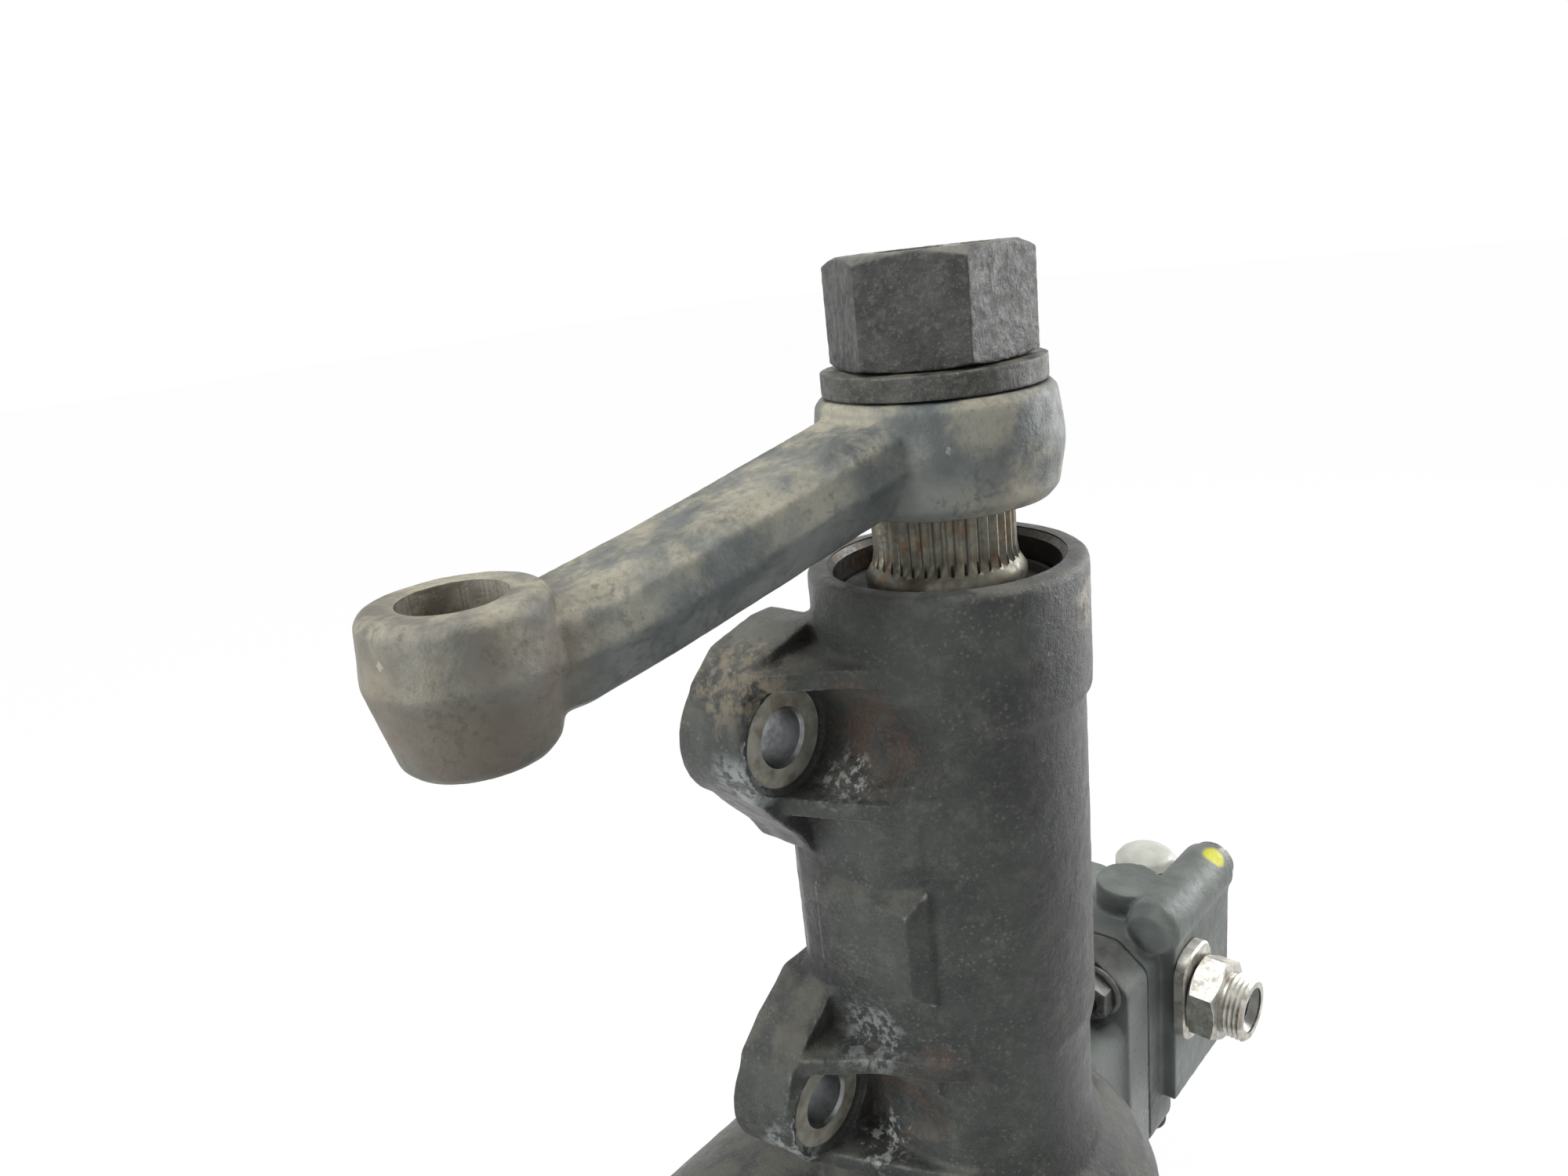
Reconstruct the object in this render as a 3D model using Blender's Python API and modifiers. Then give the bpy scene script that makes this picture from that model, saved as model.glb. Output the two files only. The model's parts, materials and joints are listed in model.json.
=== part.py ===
"""Power steering gearbox with a recirculating ball worm, a rack piston and a sector shaft.

Sizes are in millimetres and MM turns them into metres when a mesh is made.
The origin is the centre of the sector shaft's threaded end.
+Z runs out of that end, +X along the worm axis to the input shaft, +Y to the chassis side.
"""

from math import acos, atan2, cos, degrees, hypot, pi, radians, sin, sqrt, tan

import bmesh
import bpy
from mathutils import Matrix, Vector

MM = 0.001
GAP = 0.3
MERGE = 0.0001 * 0.1

# Pitman arm end of the sector shaft, levels measured down from the shaft end
NUT_PROUD = 1.0
NUT_HEIGHT = 22.3
NUT_ACROSS_FLATS = 38.0
NUT_TURN = 56.0
WASHER_THICKNESS = 5.2
WASHER_R = 23.5
WASHER_SPLIT = 2.4
ARM_BOSS_HEIGHT = 23.5
MOUTH_GAP = 13.0
THREAD_R = 12.7
SPLINE_COUNT = 36
SPLINE_TIP_R = 15.5
SPLINE_DEPTH = 1.0
ARM_LENGTH = 109.3
ARM_ANGLE = 171.65
ARM_BOSS_R = 26.4
ARM_DROP = 14.8
ARM_EYE_R = 15.5
ARM_EYE_HEIGHT = 26.5
ARM_EYE_HOLE_TOP_R = 8.9
ARM_EYE_HOLE_BOTTOM_R = 7.4
ARM_WIDTH_BIG = 30.0
ARM_WIDTH_SMALL = 24.0
ARM_DEPTH = 20.0

# Cast neck around the sector shaft
COLLAR_R = 30.5
COLLAR_HEIGHT = 30.3
NECK_R = 29.0
NECK_WAIST_R = 27.6
WAIST_TOP = 55.0
WAIST_BOTTOM = 32.0
MOUTH_BORE_R = 24.8
MOUTH_BORE_DEPTH = 23.0
BEARING_BORE_R = 21.5
UPPER_BEARING_LENGTH = 34.0
LOWER_BEARING_LENGTH = 30.0
RELIEF_BORE_R = 19.5
SHAFT_R = 17.5

# Places of the worm axis and the sector
WORM_Y = 44.0
WORM_Z = -266.0
SECTOR_FACE = 40.0
SECTOR_SWING_ANGLE = 43.0
TOOTH_MODULE = 5.6
TOOTH_COUNT = 8
PRESSURE_ANGLE = 25.0
TOOTH_ADDENDUM = 0.7
TOOTH_DEDENDUM = 0.85
TOOTH_PLAY = 0.5
SECTOR_TOOTH_COUNT = 3
LOWER_JOURNAL_R = 15.0
CHAMBER_R = 31.0
CHAMBER_WALL = 13.0
CHAMBER_TOP_GAP = 10.0
COVER_DROP = 6.5

# Rack piston, its cylinder and the recirculating ball worm
BORE_R = 33.0
BARREL_WALL = 6.5
RACK_HALF = 36.0
PISTON_TAIL = 7.5
PISTON_HEAD = 12.0
PISTON_PLUG_R = 14.0
END_PLAY = 0.9
HEAD_ROOM = 12.0
RING_FROM_END = 2.2
RING_WIDTH = 2.0
PLUG_THICKNESS = 10.0
WORM_LEAD = 9.5
WORM_R = 10.5
WORM_TIP_PLAY = 1.2
WORM_NECK_R = 8.0
WORM_NECK_LENGTH = 28.0
BALL_R = 2.78
BALL_CIRCLE_R = 10.9
BALL_START = 2.0
BALL_TURNS = 2.5
TRACK_PLAY = 0.8
TRACK_RUN_OUT = 4.0

# Mounting bosses, bolted to the chassis with 12 mm bolts
MOUNT_HOLE_R = 6.25
MOUNT_X = -37.5
MOUNT_UPPER_Z = -96.0
MOUNT_LOWER_Z = -192.0
SEAT_Y = 18.5
MOUNT_FACE_Y = 34.5
BOSS_FRONT_R = 13.5
BOSS_REAR_R = 16.0
SEAT_R = 12.8
RIB_THICKNESS = 4.6
THIRD_LUG_X = 62.0
THIRD_LUG_Z = -173.0
THIRD_LUG_R = 16.5
THIRD_SEAT_Y = 14.0
THIRD_PLATE = 14.0
PAD_FACE_X = -33.8
PAD_HEIGHT = 21.0
PAD_NEAR_Y = -7.5
PAD_WIDTH = 26.0
WEB_FACE_X = -31.2

# Valve housing, with distances from the worm axis
SPIGOT_LENGTH = 13.5
FLANGE_THICKNESS = 16.0
HOUSING_FLANGE = 14.0
FLANGE_NEAR = 47.0
FLANGE_FAR = 40.5
FLANGE_BELOW = 40.5
FLANGE_ABOVE = 44.0
FLANGE_BOLT_INSET = 9.5
FLANGE_NEAR_INSET = 11.0
CUP_DEPTH = 3.0
CUP_LENGTH = 14.0
SLEEVE_LENGTH = 30.0
VALVE_BODY_R = 34.0
VALVE_BODY_LENGTH = 58.7
PORT_BLOCK_LENGTH = 51.7
PORT_BLOCK_NEAR = 52.0
PORT_BLOCK_FAR = 18.0
PORT_BLOCK_BELOW = 14.0
PORT_BLOCK_ABOVE = 52.0
PORT_LEDGE_ABOVE = 44.0
RELIEF_BOSS_R = 9.0
VALVE_BORE_R = 21.3
SLEEVE_R = 21.0
ADJUSTER_RING_R = 24.0
INPUT_SHAFT_R = 11.0
INPUT_SHAFT_REACH = 35.0
TORSION_BAR_R = 4.0
SERRATION_R = 9.6
SERRATION_DEPTH = 0.9
SERRATION_COUNT = 12
PORT_FROM_JOINT = 16.7
PORT_ABOVE = 26.0
PORT_BORE_R = 8.0
RETURN_BORE_R = 7.0
RETURN_BOSS_HEIGHT = 1.0
RETURN_CAP_R = 10.5
RETURN_CAP_HEIGHT = 7.0

# Side cover and sector adjuster
COVER_R = 51.0
COVER_THICKNESS = 12.0
COVER_HUB = 8.0
BUSH_WALL = 2.6
COVER_BOLT_CIRCLE_R = 42.0
BOLT_R = 4.0
ADJUSTER_R = 5.0
POCKET_R = 9.3

# Levels that follow from the sizes above
NUT_BOTTOM = NUT_PROUD - NUT_HEIGHT
ARM_TOP = NUT_BOTTOM - WASHER_THICKNESS - GAP
ARM_BOTTOM = ARM_TOP - ARM_BOSS_HEIGHT
MOUTH_Z = ARM_BOTTOM - MOUTH_GAP
SEAL_FLOOR_Z = MOUTH_Z - MOUTH_BORE_DEPTH
SECTOR_TOP_Z = WORM_Z + SECTOR_FACE / 2
SECTOR_BOTTOM_Z = WORM_Z - SECTOR_FACE / 2
CHAMBER_TOP_Z = SECTOR_TOP_Z + CHAMBER_TOP_GAP
CHAMBER_OUT_R = CHAMBER_R + CHAMBER_WALL
BARREL_R = BORE_R + BARREL_WALL
COVER_FACE_Z = WORM_Z - BARREL_R - COVER_DROP
COVER_OUT_Z = COVER_FACE_Z - GAP - COVER_THICKNESS
PITCH_R = TOOTH_MODULE * TOOTH_COUNT / 2
TIP_R = PITCH_R + TOOTH_ADDENDUM * TOOTH_MODULE
ROOT_R = PITCH_R - TOOTH_DEDENDUM * TOOTH_MODULE

# Places along the worm axis that follow from the rack's stroke
STROKE = PITCH_R * radians(SECTOR_SWING_ANGLE)
PISTON_LEFT = -RACK_HALF - PISTON_TAIL
PISTON_RIGHT = RACK_HALF + PISTON_HEAD
WORM_BORE_FLOOR = -RACK_HALF - 2.0
END_PLUG_RIGHT = PISTON_LEFT - STROKE - END_PLAY
END_PLUG_LEFT = END_PLUG_RIGHT - PLUG_THICKNESS
END_RING_LEFT = END_PLUG_LEFT - GAP - RING_WIDTH
BARREL_LEFT = END_RING_LEFT - GAP - RING_FROM_END
VALVE_LEFT = PISTON_RIGHT + STROKE + HEAD_ROOM + SPIGOT_LENGTH
BARREL_RIGHT = VALVE_LEFT - GAP
SPIGOT_LEFT = VALVE_LEFT - SPIGOT_LENGTH
WORM_LEFT = WORM_BORE_FLOOR + STROKE + WORM_TIP_PLAY
WORM_THREAD_RIGHT = BARREL_RIGHT - WORM_NECK_LENGTH
CUP_LEFT = VALVE_LEFT - CUP_DEPTH
CUP_RIGHT = CUP_LEFT + CUP_LENGTH
SLEEVE_LEFT = CUP_RIGHT + GAP
SLEEVE_RIGHT = SLEEVE_LEFT + SLEEVE_LENGTH
ADJUSTER_LEFT = SLEEVE_RIGHT + 2.0
VALVE_BODY_RIGHT = VALVE_LEFT + VALVE_BODY_LENGTH
PORT_BLOCK_RIGHT = VALVE_LEFT + PORT_BLOCK_LENGTH
INPUT_END_X = VALVE_BODY_RIGHT + INPUT_SHAFT_REACH

# Edges of the flange and the port block that follow from the worm axis
FLANGE_NEAR_Y = WORM_Y - FLANGE_NEAR
FLANGE_FAR_Y = WORM_Y + FLANGE_FAR
FLANGE_LOW_Z = WORM_Z - FLANGE_BELOW
FLANGE_HIGH_Z = WORM_Z + FLANGE_ABOVE
PORT_BLOCK_NEAR_Y = WORM_Y - PORT_BLOCK_NEAR
PORT_BLOCK_LOW_Z = WORM_Z - PORT_BLOCK_BELOW
PORT_BLOCK_HIGH_Z = WORM_Z + PORT_BLOCK_ABOVE
PORT_LEDGE_Z = WORM_Z + PORT_LEDGE_ABOVE
RELIEF_Y = PORT_BLOCK_NEAR_Y + RELIEF_BOSS_R - 1.0
RELIEF_Z = PORT_BLOCK_HIGH_Z - 3.0
PORT_X = VALVE_LEFT + PORT_FROM_JOINT
PORT_Z = WORM_Z + PORT_ABOVE
RETURN_X = VALVE_BODY_RIGHT - RETURN_CAP_R - 1.0
RETURN_Y = RELIEF_Y + RELIEF_BOSS_R + GAP + RETURN_CAP_R
RETURN_SEAT_Z = PORT_LEDGE_Z + RETURN_BOSS_HEIGHT

TURNS = {
    "Z": (0, 0, 0),
    "-Z": (pi, 0, 0),
    "X": (0, pi / 2, 0),
    "-X": (0, -pi / 2, 0),
    "Y": (-pi / 2, 0, 0),
    "-Y": (pi / 2, 0, 0),
}
WORM_AXIS = (0, WORM_Y, WORM_Z)

for old in list(bpy.data.objects):
    bpy.data.objects.remove(old)

part_collection = bpy.data.collections.new("steering_gearbox")
cutter_collection = bpy.data.collections.new("cutters")
bpy.context.scene.collection.children.link(part_collection)
bpy.context.scene.collection.children.link(cutter_collection)


def material(name, colour, roughness, metallic):
    """A Principled material with one plain colour."""
    made = bpy.data.materials.new(name)
    made.use_nodes = True
    shader = made.node_tree.nodes["Principled BSDF"]
    shader.inputs["Base Color"].default_value = (*colour, 1.0)
    shader.inputs["Roughness"].default_value = roughness
    shader.inputs["Metallic"].default_value = metallic
    return made


PAINTED_IRON = material("painted_iron", (0.035, 0.037, 0.036), 0.5, 0.0)
FORGED_STEEL = material("forged_steel", (0.10, 0.10, 0.095), 0.6, 0.4)
DARK_STEEL = material("dark_steel", (0.06, 0.06, 0.06), 0.55, 0.6)
MACHINED_STEEL = material("machined_steel", (0.45, 0.45, 0.43), 0.35, 1.0)
PLATED_STEEL = material("plated_steel", (0.62, 0.60, 0.56), 0.3, 1.0)
BRONZE = material("bronze", (0.45, 0.30, 0.14), 0.4, 1.0)
BLACK_RUBBER = material("black_rubber", (0.02, 0.02, 0.02), 0.7, 0.0)
PALE_PLASTIC = material("pale_plastic", (0.62, 0.60, 0.54), 0.5, 0.0)


def empty(name, at):
    """An empty that stands on a joint's axis."""
    made = bpy.data.objects.new(name, None)
    made.location = Vector(at) * MM
    part_collection.objects.link(made)
    return made


HOUSING = empty("housing_frame", (0, 0, 0))
SECTOR = empty("sector_axis", (0, 0, 0))
RACK = empty("rack_axis", WORM_AXIS)
INPUT = empty("input_axis", WORM_AXIS)


def shade(mesh):
    """Shade round faces smooth and keep edges sharper than 35 degrees."""
    mesh.shade_smooth()
    mesh.set_sharp_from_angle(angle=radians(35))


def place(obj, at, axis, parent, finish, spin=0.0):
    """Put an object in its collection, turn its own Z to an axis and hang it on a parent."""
    turn = Matrix.Rotation(radians(spin), 3, "Z")
    obj.rotation_euler = (euler_matrix(axis) @ turn).to_euler()
    if finish is None:
        cutter_collection.objects.link(obj)
        obj.hide_render = True
        obj.display_type = "WIRE"
        obj.location = Vector(at) * MM
        return obj
    part_collection.objects.link(obj)
    obj.data.materials.append(finish)
    obj.parent = parent
    obj.location = Vector(at) * MM - parent.location
    return obj


def euler_matrix(axis):
    """The rotation that turns Z to a named axis."""
    x_turn, y_turn, z_turn = TURNS[axis]
    return (
        Matrix.Rotation(z_turn, 3, "Z")
        @ Matrix.Rotation(y_turn, 3, "Y")
        @ Matrix.Rotation(x_turn, 3, "X")
    )


def turned(name, profile, at=(0, 0, 0), axis="Z", parent=None, finish=None, steps=18, ring=False, spin=0.0):
    """Revolve a profile of (radius, height) that runs down its outer side."""
    mesh = bpy.data.meshes.new(name)
    points = [(radius * MM, 0.0, height * MM) for radius, height in profile]
    edges = [(i, i + 1) for i in range(len(points) - 1)]
    if ring:
        edges.append((len(points) - 1, 0))
    mesh.from_pydata(points, edges, [])
    obj = place(bpy.data.objects.new(name, mesh), at, axis, parent, finish, spin)
    screw = obj.modifiers.new("turn", "SCREW")
    screw.steps = steps
    screw.render_steps = steps
    screw.use_merge_vertices = True
    screw.merge_threshold = MERGE
    screw.use_smooth_shade = True
    return obj


def rod(name, radius, low, high, at=(0, 0, 0), axis="Z", parent=None, finish=None, steps=16):
    """A plain round rod from low to high along its own axis."""
    return cone(name, radius, radius, low, high, at, axis, steps, parent, finish)


def cone(name, low_r, high_r, low, high, at=(0, 0, 0), axis="Z", steps=20, parent=None, finish=None):
    """A cone or rod from low to high along its own axis, with flat ends."""
    form = bmesh.new()
    bmesh.ops.create_cone(
        form, cap_ends=True, segments=steps, radius1=low_r * MM, radius2=high_r * MM, depth=(high - low) * MM
    )
    bmesh.ops.translate(form, verts=form.verts, vec=(0, 0, (high + low) / 2 * MM))
    mesh = bpy.data.meshes.new(name)
    form.to_mesh(mesh)
    form.free()
    shade(mesh)
    return place(bpy.data.objects.new(name, mesh), at, axis, parent, finish)


def tube(name, outer, inner, low, high, at=(0, 0, 0), axis="Z", parent=None, finish=None, steps=18):
    """A turned ring or sleeve."""
    profile = [(outer, high), (outer, low), (inner, low), (inner, high)]
    return turned(name, profile, at, axis, parent, finish, steps, ring=True)


def slab(name, outline, low, high, at=(0, 0, 0), axis="Z", parent=None, finish=None, spin=0.0):
    """A flat outline made as a filled 2D curve and given its thickness."""
    curve = bpy.data.curves.new(name + "_outline", "CURVE")
    curve.dimensions = "2D"
    curve.fill_mode = "BOTH"
    curve.extrude = (high - low) / 2 * MM
    spline = curve.splines.new("POLY")
    spline.points.add(len(outline) - 1)
    for point, (x, y) in zip(spline.points, outline):
        point.co = (x * MM, y * MM, 0, 1)
    spline.use_cyclic_u = True
    source = bpy.data.objects.new(name + "_outline", curve)
    cutter_collection.objects.link(source)
    bpy.context.view_layer.update()
    graph = bpy.context.evaluated_depsgraph_get()
    mesh = bpy.data.meshes.new_from_object(source.evaluated_get(graph))
    bpy.data.objects.remove(source)
    form = bmesh.new()
    form.from_mesh(mesh)
    bmesh.ops.translate(form, verts=form.verts, vec=(0, 0, (high + low) / 2 * MM))
    bmesh.ops.remove_doubles(form, verts=form.verts, dist=MERGE)
    bmesh.ops.recalc_face_normals(form, faces=form.faces)
    form.to_mesh(mesh)
    form.free()
    mesh.name = name
    mesh.materials.clear()
    shade(mesh)
    return place(bpy.data.objects.new(name, mesh), at, axis, parent, finish, spin)


def box(name, low, high, parent=None, finish=None, bevel=0.0, segments=1):
    """A box between two corners, with rounded edges where a bevel is given."""
    size = Vector(high) - Vector(low)
    middle = (Vector(high) + Vector(low)) / 2
    form = bmesh.new()
    bmesh.ops.create_cube(form, size=1.0)
    bmesh.ops.scale(form, verts=form.verts, vec=size * MM)
    mesh = bpy.data.meshes.new(name)
    form.to_mesh(mesh)
    form.free()
    obj = place(bpy.data.objects.new(name, mesh), middle, "Z", parent, finish)
    if bevel:
        rounding = obj.modifiers.new("round", "BEVEL")
        rounding.width = bevel * MM
        rounding.segments = segments
    return obj


def boolean(target, tool, operation):
    """Add one exact boolean to the target."""
    step = target.modifiers.new(tool.name, "BOOLEAN")
    step.operation = operation
    step.object = tool
    step.solver = "EXACT"


def cut(target, *tools):
    """Take the tools away from the target."""
    for tool in tools:
        boolean(target, tool, "DIFFERENCE")


def fuse(target, *tools):
    """Join the tools to the target."""
    for tool in tools:
        boolean(target, tool, "UNION")


def rounded(points, radius, steps=2):
    """Corners of a closed outline, each replaced by a short arc of points."""
    made = []
    for index, corner in enumerate(points):
        corner = Vector(corner)
        before = (Vector(points[index - 1]) - corner).normalized()
        after = (Vector(points[(index + 1) % len(points)]) - corner).normalized()
        half = before.angle(after) / 2
        reach = radius / tan(half)
        centre = corner + (before + after).normalized() * (radius / sin(half))
        start = corner + before * reach - centre
        end = corner + after * reach - centre
        sweep = start.angle_signed(end)
        for step in range(steps + 1):
            angle = -sweep * step / steps
            turned_x = start.x * cos(angle) - start.y * sin(angle)
            turned_y = start.x * sin(angle) + start.y * cos(angle)
            made.append((centre.x + turned_x, centre.y + turned_y))
    return made


def circle(radius, count, start=0.0):
    """Points of a circle or regular polygon."""
    return [
        (radius * cos(start + 2 * pi * i / count), radius * sin(start + 2 * pi * i / count))
        for i in range(count)
    ]


def spline_outline(count, tip_r, depth, play=0.0):
    """Outline of rolled serrations: one pointed tooth on each division."""
    made = []
    step = 2 * pi / count
    for index in range(count):
        for radius, share in ((tip_r - depth, -0.5), (tip_r, 0.0)):
            angle = (index + share) * step
            made.append(((radius + play) * cos(angle), (radius + play) * sin(angle)))
    return made


def hexagon(across_flats, start=0.0):
    """Corners of a hexagon."""
    return circle(across_flats / sqrt(3), 6, radians(start))


def across_x(outline):
    """Turn (y, z) points about the worm axis into a slab's own (x, y), whose Z is turned to X."""
    return [(-(z - WORM_Z), y - WORM_Y) for y, z in outline]


def across_y(outline):
    """Turn world (x, z) points into a slab's own (x, y), whose Z is turned to +Y."""
    return [(x, -z) for x, z in outline]


# Gear tooth geometry shared by the sector and the rack
def involute(angle):
    """Involute function of a pressure angle."""
    return tan(angle) - angle


def sector_outline():
    """Hub circle with involute teeth about +Y, as (x, y) points counter-clockwise."""
    base_r = PITCH_R * cos(radians(PRESSURE_ANGLE))
    half_pitch_angle = (pi * TOOTH_MODULE / 2 - TOOTH_PLAY / 2) / (2 * PITCH_R)
    pitch_involute = involute(radians(PRESSURE_ANGLE))
    flank = [(ROOT_R, half_pitch_angle + pitch_involute)]
    flank_points = 3
    for index in range(flank_points + 1):
        radius = base_r + (TIP_R - base_r) * index / flank_points
        spread = half_pitch_angle + pitch_involute - involute(acos(min(1.0, base_r / radius)))
        flank.append((radius, spread))
    made = []
    first = -(SECTOR_TOOTH_COUNT - 1) / 2
    for tooth in range(SECTOR_TOOTH_COUNT):
        middle = pi / 2 + (first + tooth) * 2 * pi / TOOTH_COUNT
        rising = [(radius, middle - spread) for radius, spread in flank]
        falling = [(radius, middle + spread) for radius, spread in reversed(flank)]
        made += rising + falling
    last_angle = made[-1][1]
    first_angle = made[0][1] + 2 * pi
    hub_points = 9
    for index in range(1, hub_points):
        angle = last_angle + (first_angle - last_angle) * index / hub_points
        made.append((ROOT_R, angle))
    return [(radius * cos(angle), radius * sin(angle)) for radius, angle in made]


def rack_gap_outline():
    """What the rack teeth leave free on the sector's side of the piston, as (x, y) world points."""
    slope = tan(radians(PRESSURE_ANGLE))
    tip_y = PITCH_R - TOOTH_ADDENDUM * TOOTH_MODULE
    root_y = PITCH_R + TOOTH_DEDENDUM * TOOTH_MODULE
    pitch = pi * TOOTH_MODULE
    half_tooth = pitch / 4 - TOOTH_PLAY / 4
    tip_half = half_tooth - (PITCH_R - tip_y) * slope
    root_half = half_tooth + (root_y - PITCH_R) * slope
    made = [(-RACK_HALF, 0.0), (-RACK_HALF, tip_y)]
    for middle in (-1.5 * pitch, -0.5 * pitch, 0.5 * pitch, 1.5 * pitch):
        outline = ((-root_half, root_y), (-tip_half, tip_y), (tip_half, tip_y), (root_half, root_y))
        if middle == -1.5 * pitch:
            outline = outline[2:]
        if middle == 1.5 * pitch:
            outline = outline[:2]
        made += [(middle + x, y) for x, y in outline]
    made += [(RACK_HALF, tip_y), (RACK_HALF, 0.0)]
    return list(reversed(made))


def helix_tube(name, radius_at, start, turns, per_turn, sides, circle_r, parent=None, finish=None):
    """A tube swept along a right-hand helix on the worm axis, with its radius given along it."""
    form = bmesh.new()
    count = int(turns * per_turn)
    slope = atan2(WORM_LEAD, 2 * pi * circle_r)
    rings = []
    for index in range(count + 1):
        angle = 2 * pi * index / per_turn
        centre = Vector((circle_r * cos(angle), circle_r * sin(angle), WORM_LEAD * index / per_turn))
        outward = Vector((cos(angle), sin(angle), 0))
        along = Vector((-sin(angle) * cos(slope), cos(angle) * cos(slope), sin(slope)))
        side = along.cross(outward)
        radius = radius_at(index)
        ring = []
        for corner in range(sides):
            turn = 2 * pi * corner / sides
            point = centre + outward * (radius * cos(turn)) + side * (radius * sin(turn))
            ring.append(form.verts.new(point * MM))
        rings.append(ring)
    for first, second in zip(rings, rings[1:]):
        for corner in range(sides):
            following = (corner + 1) % sides
            form.faces.new((first[corner], first[following], second[following], second[corner]))
    form.faces.new(list(reversed(rings[0])))
    form.faces.new(rings[-1])
    bmesh.ops.recalc_face_normals(form, faces=form.faces)
    mesh = bpy.data.meshes.new(name)
    form.to_mesh(mesh)
    form.free()
    return place(bpy.data.objects.new(name, mesh), (start, WORM_Y, WORM_Z), "X", parent, finish)


def make_nut_and_washer():
    """The tall hexagon nut with its chamfers, and the split lock washer under it."""
    corner_r = NUT_ACROSS_FLATS / sqrt(3)
    flat_r = NUT_ACROSS_FLATS / 2
    outline = hexagon(NUT_ACROSS_FLATS, NUT_TURN)
    nut = slab("pitman_nut", outline, NUT_BOTTOM, NUT_PROUD, parent=SECTOR, finish=DARK_STEEL)
    limit = [(0, NUT_PROUD), (flat_r - 0.6, NUT_PROUD), (corner_r + 0.2, NUT_PROUD - 1.9)]
    limit += [(corner_r + 0.2, NUT_BOTTOM + 0.8), (flat_r + 0.4, NUT_BOTTOM), (0, NUT_BOTTOM)]
    boolean(nut, turned("nut_chamfer", limit, steps=24), "INTERSECT")
    cut(nut, rod("nut_bore", THREAD_R + GAP, NUT_BOTTOM - 2, NUT_PROUD + 2, steps=20))
    top = NUT_BOTTOM - GAP
    bottom = NUT_BOTTOM - WASHER_THICKNESS
    inner = THREAD_R + 1.2
    washer = tube("lock_washer", WASHER_R, inner, bottom, top, parent=SECTOR, finish=DARK_STEEL, steps=24)
    split_low = (THREAD_R - 3, -WASHER_SPLIT / 2, bottom - 2)
    split_high = (WASHER_R + 4, WASHER_SPLIT / 2, top + 2)
    cut(washer, box("washer_split", split_low, split_high))


def make_pitman_arm():
    """Forged arm: a splined boss, an oval beam that drops to the eye, and a tapered hole."""
    mid = (ARM_TOP + ARM_BOTTOM) / 2
    profile = [(0, ARM_TOP), (ARM_BOSS_R - 2.6, ARM_TOP), (ARM_BOSS_R - 1.2, ARM_TOP - 1.6)]
    profile += [(ARM_BOSS_R, mid + 1), (ARM_BOSS_R, mid - 1), (ARM_BOSS_R - 1.4, ARM_BOTTOM + 2.4)]
    profile += [(ARM_BOSS_R - 3.4, ARM_BOTTOM), (0, ARM_BOTTOM)]
    arm = turned("pitman_arm", profile, parent=SECTOR, finish=FORGED_STEEL, steps=28)
    direction = Vector((cos(radians(ARM_ANGLE)), sin(radians(ARM_ANGLE)), 0))
    eye_at = (direction.x * ARM_LENGTH, direction.y * ARM_LENGTH, 0)
    eye_top = ARM_TOP - ARM_DROP
    eye_bottom = eye_top - ARM_EYE_HEIGHT
    eye_mid = eye_top - ARM_EYE_HEIGHT * 0.42
    eye_profile = [(0, eye_top), (ARM_EYE_R - 1.6, eye_top), (ARM_EYE_R - 0.3, eye_top - 1.6)]
    eye_profile += [(ARM_EYE_R + 0.7, eye_mid), (ARM_EYE_R - 2.4, eye_bottom + 1.5)]
    eye_profile += [(ARM_EYE_R - 3.8, eye_bottom), (0, eye_bottom)]
    eye = turned("eye_boss", eye_profile, at=eye_at, steps=24)
    fuse(arm, arm_beam(direction, eye_top), eye)
    serrations = spline_outline(SPLINE_COUNT, SPLINE_TIP_R, SPLINE_DEPTH, GAP)
    spline_hole = slab("arm_spline_hole", serrations, ARM_BOTTOM - 2, ARM_TOP + 2)
    low_r = ARM_EYE_HOLE_BOTTOM_R - 0.1
    high_r = ARM_EYE_HOLE_TOP_R + 0.1
    eye_hole = cone("eye_hole", low_r, high_r, eye_bottom - 1, eye_top + 1, eye_at, "Z", 20)
    cut(arm, spline_hole, eye_hole)


def arm_beam(direction, eye_top):
    """Loft of the beam's eight-sided section from inside the boss to inside the eye."""
    across = Vector((-direction.y, direction.x, 0))
    form = bmesh.new()
    rings = []
    big_top = ARM_TOP - 2.4
    small_top = eye_top - 3.0
    stations = ((0.055, 0.0), (0.22, 0.02), (0.403, 0.32), (0.659, 0.74), (0.842, 0.99), (0.942, 1.0))
    upper = ((0.28, 0.0), (0.44, -0.16 * ARM_DEPTH), (0.5, -0.475 * ARM_DEPTH))
    lower = ((0.46, -0.575 * ARM_DEPTH), (0.34, -0.91 * ARM_DEPTH), (0.22, -ARM_DEPTH))
    section = upper + lower
    for reach, share in stations:
        width = ARM_WIDTH_BIG + (ARM_WIDTH_SMALL - ARM_WIDTH_BIG) * reach
        top = big_top + (small_top - big_top) * share
        middle = Vector(direction) * (reach * ARM_LENGTH)
        ring = []
        for side in (1, -1):
            for wide, level in section if side == 1 else reversed(section):
                point = middle + across * (wide * width * side) + Vector((0, 0, top + level))
                ring.append(form.verts.new(point * MM))
        rings.append(ring)
    for first, second in zip(rings, rings[1:]):
        for corner in range(len(first)):
            following = (corner + 1) % len(first)
            form.faces.new((first[corner], first[following], second[following], second[corner]))
    form.faces.new(rings[0])
    form.faces.new(list(reversed(rings[-1])))
    bmesh.ops.recalc_face_normals(form, faces=form.faces)
    mesh = bpy.data.meshes.new("arm_beam")
    form.to_mesh(mesh)
    form.free()
    return place(bpy.data.objects.new("arm_beam", mesh), (0, 0, 0), "Z", None, None)


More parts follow.
